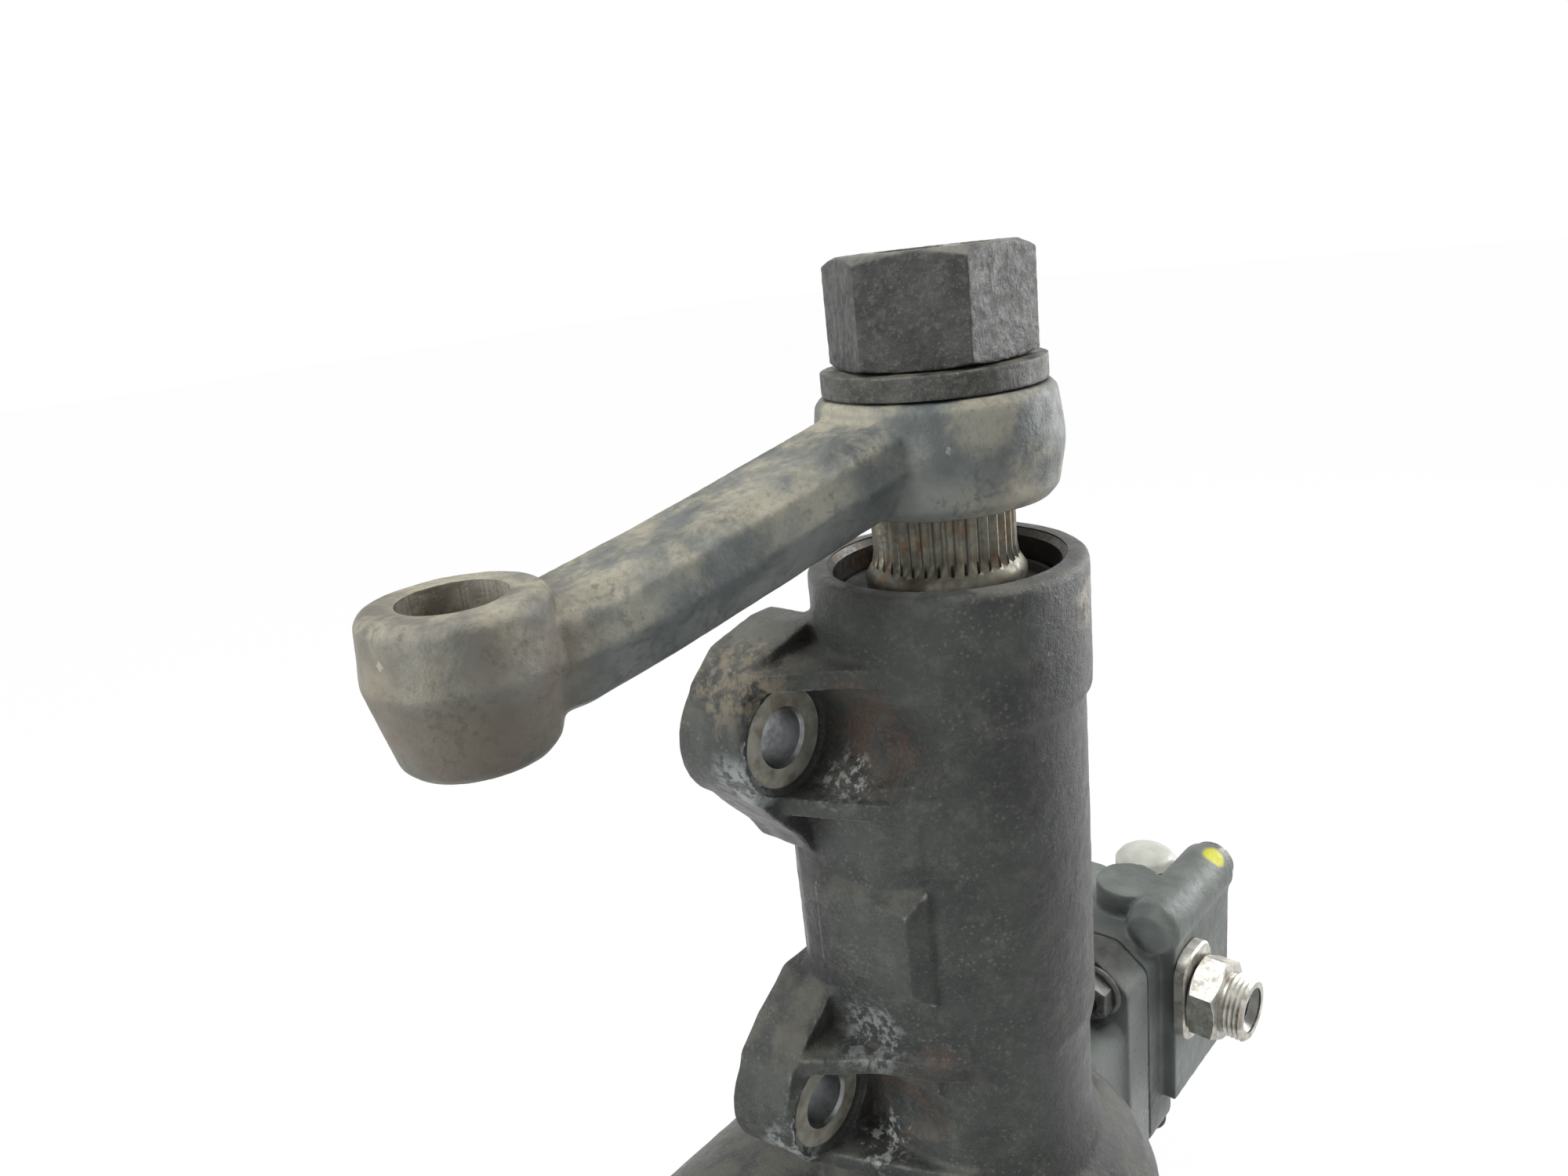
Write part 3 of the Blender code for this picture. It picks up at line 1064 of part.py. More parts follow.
def port_block_outline():
    """Section of the port block as (y, z), with the lower ledge that carries the return port."""
    step_y = RELIEF_Y + RELIEF_BOSS_R - 0.4
    far_y = WORM_Y - PORT_BLOCK_FAR
    near = [(PORT_BLOCK_NEAR_Y + 2, PORT_BLOCK_LOW_Z), (PORT_BLOCK_NEAR_Y, PORT_BLOCK_LOW_Z + 2)]
    near += [(PORT_BLOCK_NEAR_Y, PORT_BLOCK_HIGH_Z - 2), (PORT_BLOCK_NEAR_Y + 2, PORT_BLOCK_HIGH_Z)]
    return near + [
        (step_y, PORT_BLOCK_HIGH_Z),
        (step_y, PORT_LEDGE_Z),
        (far_y, PORT_LEDGE_Z),
        (far_y + 8, PORT_LEDGE_Z - 18),
        (far_y + 8, PORT_BLOCK_LOW_Z),
    ]


def cut_valve_bores(valve, relief_at, return_at):
    """The stepped bore for the valve, and the pressure, return and relief bores."""
    cup_bore_r = SLEEVE_R - 2.7
    ring_r = ADJUSTER_RING_R + GAP
    bore = [(0, VALVE_BODY_RIGHT + 2), (ring_r, VALVE_BODY_RIGHT + 2), (ring_r, ADJUSTER_LEFT - GAP)]
    bore += [(VALVE_BORE_R, ADJUSTER_LEFT - GAP), (VALVE_BORE_R, CUP_LEFT - 0.1)]
    bore += [(cup_bore_r, CUP_LEFT - 0.1)]
    bore += [(cup_bore_r, SPIGOT_LEFT - 2), (0, SPIGOT_LEFT - 2)]
    cut(valve, turned("valve_bore", bore, WORM_AXIS, "X", steps=22, spin=180 / 22))
    port_at = (PORT_X, 0, PORT_Z)
    port_end = WORM_Y - VALVE_BORE_R + 3
    pressure = rod("pressure_bore", PORT_BORE_R, PORT_BLOCK_NEAR_Y - 2, port_end, port_at, "Y", steps=20)
    returns = rod("return_bore", RETURN_BORE_R, RETURN_SEAT_Z - 15, RETURN_SEAT_Z + 2, return_at, steps=18)
    relief_bore = rod("relief_bore", 5.0, PORT_BLOCK_RIGHT - 12, PORT_BLOCK_RIGHT + 4, relief_at, "X")
    cut(valve, pressure, returns, relief_bore)


def make_relief_plug(relief_at):
    """Plug that closes the relief valve's bore."""
    seat = PORT_BLOCK_RIGHT + 1.5 + GAP
    head = seat + 5.2
    plug = [(0, head), (6.4, head), (7.2, head - 1), (7.2, seat), (4.7, seat), (4.7, PORT_BLOCK_RIGHT - 11)]
    plug += [(0, PORT_BLOCK_RIGHT - 11)]
    turned("relief_valve_plug", plug, relief_at, "X", HOUSING, DARK_STEEL)


def make_input_end():
    """Bearing adjuster ring, input oil seal and dust cover around the input shaft."""
    inside = INPUT_SHAFT_R + GAP
    ring_right = VALVE_BODY_RIGHT - 3
    web_right = ADJUSTER_LEFT + 4
    seal_r = 17.0
    seal_in = seal_r + GAP
    adjuster = [(ADJUSTER_RING_R, ring_right), (ADJUSTER_RING_R, ADJUSTER_LEFT), (inside, ADJUSTER_LEFT)]
    adjuster += [(inside, web_right), (seal_in, web_right), (seal_in, ring_right)]
    turned("bearing_adjuster", adjuster, WORM_AXIS, "X", HOUSING, MACHINED_STEEL, ring=True)
    seal_place = (web_right + GAP, ring_right - 1.5)
    tube("input_oil_seal", seal_r, inside, *seal_place, WORM_AXIS, "X", HOUSING, BLACK_RUBBER)
    left = ring_right + GAP
    cover = [(19.0, left + 1.4), (20.5, left), (inside, left), (inside, left + 7), (13.5, left + 7)]
    cover += [(15.0, left + 2.4)]
    turned("input_dust_cover", cover, WORM_AXIS, "X", HOUSING, BLACK_RUBBER, ring=True)


def make_joint_seal():
    """Seal ring between gear housing and valve housing, in the joint gap's chamfer."""
    left = BARREL_RIGHT - 3.0
    groove = (BORE_R + 2.8, BORE_R - 3, left, BARREL_RIGHT + GAP - 0.05)
    cut(bpy.data.objects["gear_housing"], tube("seal_groove", *groove, WORM_AXIS, "X", steps=26))
    place_x = (left + GAP, BARREL_RIGHT - 0.1)
    tube("valve_joint_seal", BORE_R + 2.5, BORE_R + 0.1, *place_x, WORM_AXIS, "X", HOUSING, BLACK_RUBBER, 22)


def make_end_plug():
    """Plug, seal and retaining ring that close the far end of the rack cylinder."""
    left = END_PLUG_LEFT
    right = END_PLUG_RIGHT
    radius = BORE_R - GAP
    groove = left + 3.6
    groove_end = groove + 3.2
    profile = [(0, right), (radius - 1, right), (radius, right - 1), (radius, groove_end)]
    profile += [(radius - 2.6, groove_end)]
    profile += [(radius - 2.6, groove), (radius, groove), (radius, left), (radius - 8, left)]
    profile += [(radius - 10, left + 3)]
    profile += [(0, left + 3)]
    turned("cylinder_end_plug", profile, WORM_AXIS, "X", HOUSING, DARK_STEEL, steps=20)
    seal_place = (groove + GAP, groove_end - GAP)
    tube("end_plug_seal", radius, radius - 2.3, *seal_place, WORM_AXIS, "X", HOUSING, BLACK_RUBBER, 20)
    ring_place = (END_RING_LEFT, END_RING_LEFT + RING_WIDTH)
    outer = BORE_R + 1.1
    ring = tube(
        "end_plug_retaining_ring", outer, BORE_R - 3.5, *ring_place, WORM_AXIS, "X", HOUSING, PLATED_STEEL, 22
    )
    gap_low = (END_RING_LEFT - 2, WORM_Y - 3, WORM_Z + 20)
    gap_high = (left + 2, WORM_Y + 3, WORM_Z + BORE_R + 7)
    cut(ring, box("ring_gap", gap_low, gap_high))


def make_port_fittings():
    """Silver pressure union with its plate, and the pale cap on the return port."""
    port_at = (PORT_X, 0, PORT_Z)
    face = GAP - PORT_BLOCK_NEAR_Y
    plate_top = face + 3.6
    outline = rounded([(-10.5, -16), (10.5, -16), (10.5, 16), (-10.5, 16)], 8.0, 3)
    plate = slab("pressure_port_plate", outline, face, plate_top, port_at, "-Y", HOUSING, PLATED_STEEL)
    cut(plate, rod("plate_hole", PORT_BORE_R - 0.2, face - 1, plate_top + 1, port_at, "-Y", steps=18))
    base = plate_top + GAP
    stem_r = PORT_BORE_R - 0.5
    profile = [(0, base + 17), (9.4, base + 17), (10.2, base + 16), (10.2, base + 9), (10.2, base)]
    profile += [(stem_r, base)]
    profile += [(stem_r, base - 11), (0, base - 11)]
    union = turned("pressure_union", profile, port_at, "-Y", HOUSING, PLATED_STEEL)
    fuse(union, slab("union_hexagon", hexagon(24.0, 30), base + 0.6, base + 9.6, port_at, "-Y"))
    cut(union, rod("union_bore", 5.2, base - 14, base + 19, port_at, "-Y"))
    low = RETURN_SEAT_Z + GAP
    top = low + RETURN_CAP_HEIGHT
    stem_r = RETURN_BORE_R - GAP
    cap = [(0, top), (RETURN_CAP_R - 4.5, top), (RETURN_CAP_R - 1.5, top - 1.4), (RETURN_CAP_R, top - 4.6)]
    cap += [(RETURN_CAP_R, low), (stem_r, low), (stem_r, low - 9), (0, low - 9)]
    turned("return_port_cap", cap, (RETURN_X, RETURN_Y, 0), "Z", HOUSING, PALE_PLASTIC)


def weigh_normals():
    """Let large flat faces set the shading where they meet rounded ones."""
    for obj in part_collection.objects:
        if obj.type == "MESH":
            obj.modifiers.new("shading", "WEIGHTED_NORMAL").keep_sharp = True


make_nut_and_washer()
make_pitman_arm()
make_sector_shaft()
make_gear_housing()
make_joint_seal()
make_neck_parts()
make_side_cover()
make_rack_piston()
make_worm()
make_input_parts()
make_valve_housing()
make_input_end()
make_end_plug()
make_port_fittings()
weigh_normals()
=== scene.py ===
"""Looks of the steering gearbox: cast, forged and machined surfaces, camera, floor and light.

Sizes are in millimetres in the model's own frame, and MM turns them into metres.
The origin is the centre of the sector shaft's threaded end. +Z runs out of that end,
+X along the worm axis to the input shaft, +Y to the chassis side.
"""

import json
from math import cos, pi, radians, sin, sqrt, tan

import bmesh
import bpy
from mathutils import Euler, Matrix, Vector


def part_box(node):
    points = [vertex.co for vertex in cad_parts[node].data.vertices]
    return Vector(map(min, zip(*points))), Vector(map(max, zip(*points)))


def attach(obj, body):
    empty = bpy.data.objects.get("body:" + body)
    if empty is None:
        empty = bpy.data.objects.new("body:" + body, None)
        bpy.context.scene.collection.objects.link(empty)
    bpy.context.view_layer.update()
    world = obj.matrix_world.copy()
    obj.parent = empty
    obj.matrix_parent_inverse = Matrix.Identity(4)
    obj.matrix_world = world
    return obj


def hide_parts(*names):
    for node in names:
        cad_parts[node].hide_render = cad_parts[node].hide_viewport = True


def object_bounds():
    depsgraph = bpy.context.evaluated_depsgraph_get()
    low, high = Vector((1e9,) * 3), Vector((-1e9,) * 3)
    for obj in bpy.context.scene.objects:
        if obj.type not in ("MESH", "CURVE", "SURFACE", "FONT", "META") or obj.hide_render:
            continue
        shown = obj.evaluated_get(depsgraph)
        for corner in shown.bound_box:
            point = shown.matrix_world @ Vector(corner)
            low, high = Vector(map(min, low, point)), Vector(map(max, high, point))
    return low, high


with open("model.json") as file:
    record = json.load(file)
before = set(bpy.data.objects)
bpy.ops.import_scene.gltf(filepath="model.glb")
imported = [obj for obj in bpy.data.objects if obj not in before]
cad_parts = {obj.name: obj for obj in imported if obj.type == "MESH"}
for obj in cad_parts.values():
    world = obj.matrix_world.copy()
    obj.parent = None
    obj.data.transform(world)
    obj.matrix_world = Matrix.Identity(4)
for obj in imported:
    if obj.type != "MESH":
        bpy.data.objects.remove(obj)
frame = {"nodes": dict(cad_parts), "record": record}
CAD_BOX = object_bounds()

MM = 0.001
GAP = 0.3  # clearance between pieces that seat on each other

# Grain of the melted skins, in millimetres
CAST_VOXEL = 0.6
COVER_VOXEL = 0.5
FORGED_VOXEL = 0.5
SMALL_VOXEL = 0.3
WELD = 0.003 * MM


def corners(node):
    """A node's lowest and highest corners in millimetres."""
    low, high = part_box(node)
    return low / MM, high / MM


def middle(node):
    """The middle of a node's box in millimetres."""
    low, high = corners(node)
    return (low + high) / 2


# Arm end of the sector shaft
NUT_PROUD = corners("pitman_nut")[1].z
NUT_BOTTOM = corners("pitman_nut")[0].z
NUT_ACROSS_FLATS = 38.0
NUT_TURN = 56.0
WASHER_BOTTOM = corners("lock_washer")[0].z
WASHER_R = 23.5
WASHER_SPLIT = 2.4
THREAD_R = 12.7
THREAD_PITCH = 1.5
THREAD_TURNS = 17
ARM_TOP = WASHER_BOTTOM - GAP
ARM_BOSS_HEIGHT = 23.5
ARM_BOTTOM = ARM_TOP - ARM_BOSS_HEIGHT
ARM_BOSS_R = 26.4
ARM_LENGTH = 109.3
ARM_ANGLE = 171.65
ARM_DROP = 14.8
ARM_DEPTH = 20.0
ARM_WIDTH_BIG = 30.0
ARM_WIDTH_SMALL = 24.0
EYE_TOP = ARM_TOP - ARM_DROP
EYE_HEIGHT = 26.5
EYE_BOTTOM = EYE_TOP - EYE_HEIGHT
EYE_R = 15.5
EYE_HOLE_TOP_R = 8.9
EYE_HOLE_BOTTOM_R = 7.4
EYE_AT = (ARM_LENGTH * cos(radians(ARM_ANGLE)), ARM_LENGTH * sin(radians(ARM_ANGLE)))
SPLINE_COUNT = 36
SPLINE_TIP_R = 15.5
SPLINE_DEPTH = 1.0
DUST_SMUDGE = (6.0, -30.0, -72.0)

# Neck, its bores and the sector chamber
MOUTH_Z = corners("gear_housing")[1].z
COLLAR_R = 30.5
COLLAR_HEIGHT = 30.3
NECK_R = 29.0
WAIST_R = 27.6
MOUTH_BORE_R = 24.8
SEAL_FLOOR_Z = MOUTH_Z - 23.0
BEARING_BORE_R = 21.5
UPPER_BORE_END_Z = SEAL_FLOOR_Z - 36.0
RELIEF_BORE_R = 19.5
SHAFT_R = 17.5
CHAMBER_R = 31.0
CHAMBER_OUT_R = 44.0
SECTOR_TOP_Z = -246.0
SECTOR_BOTTOM_Z = -286.0
CHAMBER_TOP_Z = SECTOR_TOP_Z + 10.0
LOWER_BORE_END_Z = CHAMBER_TOP_Z + 32.0
COVER_R = 51.0
COVER_FACE_Z = corners("gear_housing")[0].z
COVER_OUT_Z = COVER_FACE_Z - GAP - 12.0
COVER_HUB_R = 23.0
COVER_HUB_TOP = corners("side_cover")[1].z
BUSH_R = 17.9
POCKET_R = 9.3

# Rack cylinder
WORM_Y = 44.0
WORM_Z = -266.0
WORM_AXIS = (0, WORM_Y, WORM_Z)
BORE_R = 33.0
BARREL_R = 39.5
BARREL_LEFT = corners("gear_housing")[0].x
BARREL_RIGHT = corners("gear_housing")[1].x
PLUG_LEFT = corners("cylinder_end_plug")[0].x
CLIP_LEFT = corners("end_plug_retaining_ring")[0].x

# Mounting bosses
HOLE_R = 6.25
MOUNT_X = -37.5
UPPER_Z = -96.0
LOWER_Z = -192.0
SEAT_Y = 18.5
MOUNT_FACE_Y = 34.5
SEAT_R = 12.8
BOSS_FRONT_R = 13.5
BOSS_REAR_R = 16.0
RIB = 4.6
EAR_OUTLINES = {
    (UPPER_Z, 1): [(-14.0, 3), (-10.5, 13), (-3, 19.5), (10, 22.5), (17.5, 22.5), (17.5, 0)],
    (UPPER_Z, -1): [(-13.0, 4), (-10.5, 11), (-4.5, 18.5), (1.5, 25), (5.2, 31), (17.5, 31), (17.5, 0)],
    (LOWER_Z, 1): [(-14.0, 5), (-11, 14), (-4, 20.5), (3, 25), (6.3, 28), (17.5, 28), (17.5, 0)],
    (LOWER_Z, -1): [(-13.0, 5), (-8, 13), (0, 19), (17.5, 21), (17.5, 0)],
}
THIRD_X = 62.0
THIRD_Z = -173.0
THIRD_R = 16.5
THIRD_SEAT_Y = 14.0
PAD_FACE_X = -33.8
PAD_HEIGHT = 21.0
PAD_NEAR_Y = -7.5
PAD_WIDTH = 26.0
WEB_FACE_X = -31.2

# Valve housing and ports
VALVE_LEFT = BARREL_RIGHT + GAP
SPIGOT_LEFT = corners("valve_housing")[0].x
FLANGE = 16.0
HOUSING_FLANGE = 14.0
FLANGE_RIGHT = VALVE_LEFT + FLANGE
VALVE_BODY_R = 34.0
VALVE_BODY_RIGHT = VALVE_LEFT + 58.7
SLEEVE_BORE_R = 21.3
CUP_BORE_R = 18.3
CUP_LEFT = VALVE_LEFT - 3.0
ADJUSTER_LEFT = corners("bearing_adjuster")[0].x
ADJUSTER_R = 24.0
BLOCK_RIGHT = VALVE_LEFT + 51.7
BLOCK_NEAR_Y = WORM_Y - 52.0
BLOCK_LOW_Z = WORM_Z - 14.0
BLOCK_HIGH_Z = WORM_Z + 52.0
LEDGE_Z = WORM_Z + 44.0
ROLL_R = 9.0
ROLL_Y = BLOCK_NEAR_Y + 8.0
ROLL_Z = BLOCK_HIGH_Z - 3.0
ROLL_END = BLOCK_RIGHT + 1.5
PORT_X = middle("pressure_union").x
PORT_Z = middle("pressure_union").z
RETURN_X = middle("return_port_cap").x
RETURN_Y = middle("return_port_cap").y
RETURN_CAP_R = 10.5
RETURN_SEAT_Z = LEDGE_Z + 1.0
INPUT_END_X = corners("input_shaft")[1].x
BOLT_R = 4.0
BOLT_ACROSS = 13.0
BOLT_HEAD = 7.0
BOLT_SPOT_R = 9.4
COVER_BOLT_CIRCLE_R = 42.0
COVER_BOLT_LENGTH = 24.0
COVER_THREAD = 12.5
INPUT_PASSAGE_R = 11.3
SPANNER_CIRCLE_R = 20.7
UNION_ACROSS = 24.0
ADJUSTER_PITCH = 1.25
JAM_NUT_ACROSS = 19.0

# Camera, floor and light
CAMERA_AT = (-189.43, -134.93, 4.19)
CAMERA_TURN = (72.717, 6.2035, -47.6156)
CAMERA_SENSOR = 36.0
CAMERA_LENS = 25.2
CAMERA_NEAR = 0.01
FLOOR_REACH = 6.0
FLOOR_COLOUR = (0.90, 0.90, 0.895, 1.0)
FLOOR_GLOW = 0.98
WORLD_LIGHT = 0.42
LAMP_AIM = (0.0, 0.0, -0.12)
LAMPS = {
    "overhead": ((-0.1, 0.0, 0.9), (0.7, 0.7), 9.0),
    "left": ((-0.95, 0.25, 0.25), (0.5, 0.9), 11.0),
    "right": ((1.0, -0.4, 0.2), (0.4, 0.9), 15.0),
}

TURNS = {
    "Z": Matrix.Identity(3),
    "-Z": Matrix.Rotation(pi, 3, "X"),
    "X": Matrix.Rotation(pi / 2, 3, "Y"),
    "-X": Matrix.Rotation(-pi / 2, 3, "Y"),
    "Y": Matrix.Rotation(-pi / 2, 3, "X"),
    "-Y": Matrix.Rotation(pi / 2, 3, "X"),
}


def placed(name, data):
    """A new object in the scene."""
    obj = bpy.data.objects.new(name, data)
    bpy.context.scene.collection.objects.link(obj)
    return obj


class Shape:
    """Closed forms gathered in one mesh."""

    def __init__(self):
        self.form = bmesh.new()

    def turned(self, profile, at=(0, 0, 0), axis="Z", steps=96, ring=False):
        """Revolve (radius, height) points; a ring's profile closes on itself, others end on the axis."""
        rows = []
        for radius, height in profile:
            count = steps if radius > 0 else 1
            rows.append(self.points([(x, y, height) for x, y in circle(radius, count)], at, axis))
        pairs = list(zip(rows, rows[1:]))
        if ring:
            pairs.append((rows[-1], rows[0]))
        for first, second in pairs:
            for i in range(steps):
                corners = [
                    first[i % len(first)],
                    first[(i + 1) % len(first)],
                    second[(i + 1) % len(second)],
                    second[i % len(second)],
                ]
                self.form.faces.new(list(dict.fromkeys(corners)))
        return self

    def points(self, points, at=(0, 0, 0), axis="Z"):
        """Vertices for local points turned to an axis."""
        return [self.form.verts.new((Vector(at) + TURNS[axis] @ Vector(point)) * MM) for point in points]

    def rod(self, radius, low, high, at=(0, 0, 0), axis="Z", steps=64):
        """A plain round rod."""
        return self.turned([(0, high), (radius, high), (radius, low), (0, low)], at, axis, steps)

    def cone(self, low_r, high_r, low, high, at=(0, 0, 0), axis="Z", steps=64):
        """A rod whose radius changes from its low end to its high end."""
        return self.turned([(0, high), (high_r, high), (low_r, low), (0, low)], at, axis, steps)

    def loft(self, rings, at=(0, 0, 0), axis="Z"):
        """Skin over rings of points, closed at both ends."""
        rows = [self.points(ring, at, axis) for ring in rings]
        for first, second in zip(rows, rows[1:]):
            for i in range(len(first)):
                j = (i + 1) % len(first)
                self.form.faces.new((first[i], first[j], second[j], second[i]))
        self.form.faces.new(list(reversed(rows[0])))
        self.form.faces.new(rows[-1])
        return self

    def prism(self, outline, low, high, at=(0, 0, 0), axis="Z"):
        """A flat outline with a thickness."""
        rings = [[(x, y, level) for x, y in outline] for level in (low, high)]
        return self.loft(rings, at, axis)

    def block(self, low, high):
        """A box between two corners."""
        outline = [(low[0], low[1]), (high[0], low[1]), (high[0], high[1]), (low[0], high[1])]
        return self.prism(outline, low[2], high[2])

    def made(self, name, finish):
        """The object that holds the forms."""
        bmesh.ops.recalc_face_normals(self.form, faces=self.form.faces)
        mesh = bpy.data.meshes.new(name)
        self.form.to_mesh(mesh)
        self.form.free()
        mesh.materials.append(finish)
        return placed(name, mesh)


def circle(radius, count, start=0.0):
    """Points of a circle or regular polygon."""
    angles = [start + 2 * pi * i / count for i in range(count)]
    return [(radius * cos(angle), radius * sin(angle)) for angle in angles]


def hexagon(across_flats, start=0.0):
    """Corners of a hexagon."""
    return circle(across_flats / sqrt(3), 6, radians(start))


def rounded(points, radius, steps=8):
    """Corners of a closed outline, each replaced by an arc."""
    made = []
    for index, corner in enumerate(points):
        corner = Vector(corner)
        before = (Vector(points[index - 1]) - corner).normalized()
        after = (Vector(points[(index + 1) % len(points)]) - corner).normalized()
        half = before.angle(after) / 2
        reach = radius / tan(half)
        centre = corner + (before + after).normalized() * (radius / sin(half))
        start = corner + before * reach - centre
        sweep = start.angle_signed(corner + after * reach - centre)
        for step in range(steps + 1):
            angle = -sweep * step / steps
            made.append(tuple(centre + Matrix.Rotation(angle, 2) @ start))
    return made


def across_x(outline):
    """Turn (y, z) points about the worm axis into local points of a form turned to X."""
    return [(-(z - WORM_Z), y - WORM_Y) for y, z in outline]


def across_y(outline):
    """Turn (x, z) points into local points of a form turned to Y."""
    return [(x, -z) for x, z in outline]


def applied(obj):
    """Bake the modifiers into the object's mesh."""
    graph = bpy.context.evaluated_depsgraph_get()
    mesh = bpy.data.meshes.new_from_object(obj.evaluated_get(graph))
    obj.modifiers.clear()
    obj.data = mesh
    return obj


def skin(obj, voxel, rounds, lump=0.0, lump_size=4.0):
    """Melt overlapping forms into one skin with soft corners, as a casting or forging has."""
    remesh = obj.modifiers.new("skin", "REMESH")
    remesh.mode = "VOXEL"
    remesh.voxel_size = voxel * MM
    soften = obj.modifiers.new("soften", "SMOOTH")
    soften.factor = 0.5
    soften.iterations = rounds
    if lump:
        clouds = bpy.data.textures.new(obj.name + "_lumps", "CLOUDS")
        clouds.noise_scale = lump_size * MM
        clouds.noise_depth = 3
        displace = obj.modifiers.new("lumps", "DISPLACE")
        displace.texture = clouds
        displace.texture_coords = "LOCAL"
        displace.strength = lump * MM
        displace.mid_level = 0.75
    return applied(obj)


def combine(obj, tool, operation):
    """Unite a second object with the first, cut it away or keep what they share; the second one goes."""
    step = obj.modifiers.new("tool", "BOOLEAN")
    step.operation = operation
    step.object = tool
    step.solver = "EXACT"
    step.material_mode = "TRANSFER"
    applied(obj)
    bpy.data.objects.remove(tool)


def cut(obj, shape, finish):
    """Cut a shape from the object; the new faces have a finish."""
    combine(obj, shape.made("tool", finish), "DIFFERENCE")


def unite(obj, shape, finish):
    """Join a shape to the object."""
    combine(obj, shape.made("tool", finish), "UNION")


def chamfered(name, across, low, high, limit, finish, at=(0, 0, 0), axis="Z", turn=0.0, steps=96):
    """A hexagonal prism kept inside a turned limit, which chamfers its corners."""
    body = Shape().prism(hexagon(across, turn), low, high, at, axis).made(name, finish)
    inside = Shape().turned(limit, at, axis, steps)
    combine(body, inside.made("tool", finish), "INTERSECT")
    return body


def shaded(obj, angle=35.0):
    """Smooth shading that keeps the edges sharper than an angle."""
    obj.data.shade_smooth()
    obj.data.set_sharp_from_angle(angle=radians(angle))
    return obj


def welded(obj):
    """Merge points that cuts left apart and close the cracks between them."""
    form = bmesh.new()
    form.from_mesh(obj.data)
    bmesh.ops.remove_doubles(form, verts=form.verts, dist=WELD)
    bmesh.ops.dissolve_degenerate(form, dist=WELD, edges=form.edges)
    rims = [edge for edge in form.edges if len(edge.link_faces) == 1]
    bmesh.ops.holes_fill(form, edges=rims)
    form.to_mesh(obj.data)
    form.free()
    return obj


def stands_for(obj, node, body):
    """The piece takes a node's place and moves with a body."""
    shaded(welded(obj))
    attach(obj, body)
    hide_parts(node)


def plug(tree, socket, value):
    """Link a socket or set its value."""
    if isinstance(value, bpy.types.NodeSocket):
        tree.links.new(value, socket)
    else:
        socket.default_value = value


def add_node(tree, kind, settings=None, values=(), **inputs):
    """A node with its inputs, by order or by name, linked to sockets or set to values."""
    node = tree.nodes.new(kind)
    for key, value in (settings or {}).items():
        setattr(node, key, value)
    for key, value in [*enumerate(values), *inputs.items()]:
        plug(tree, node.inputs[key], value)
    return node


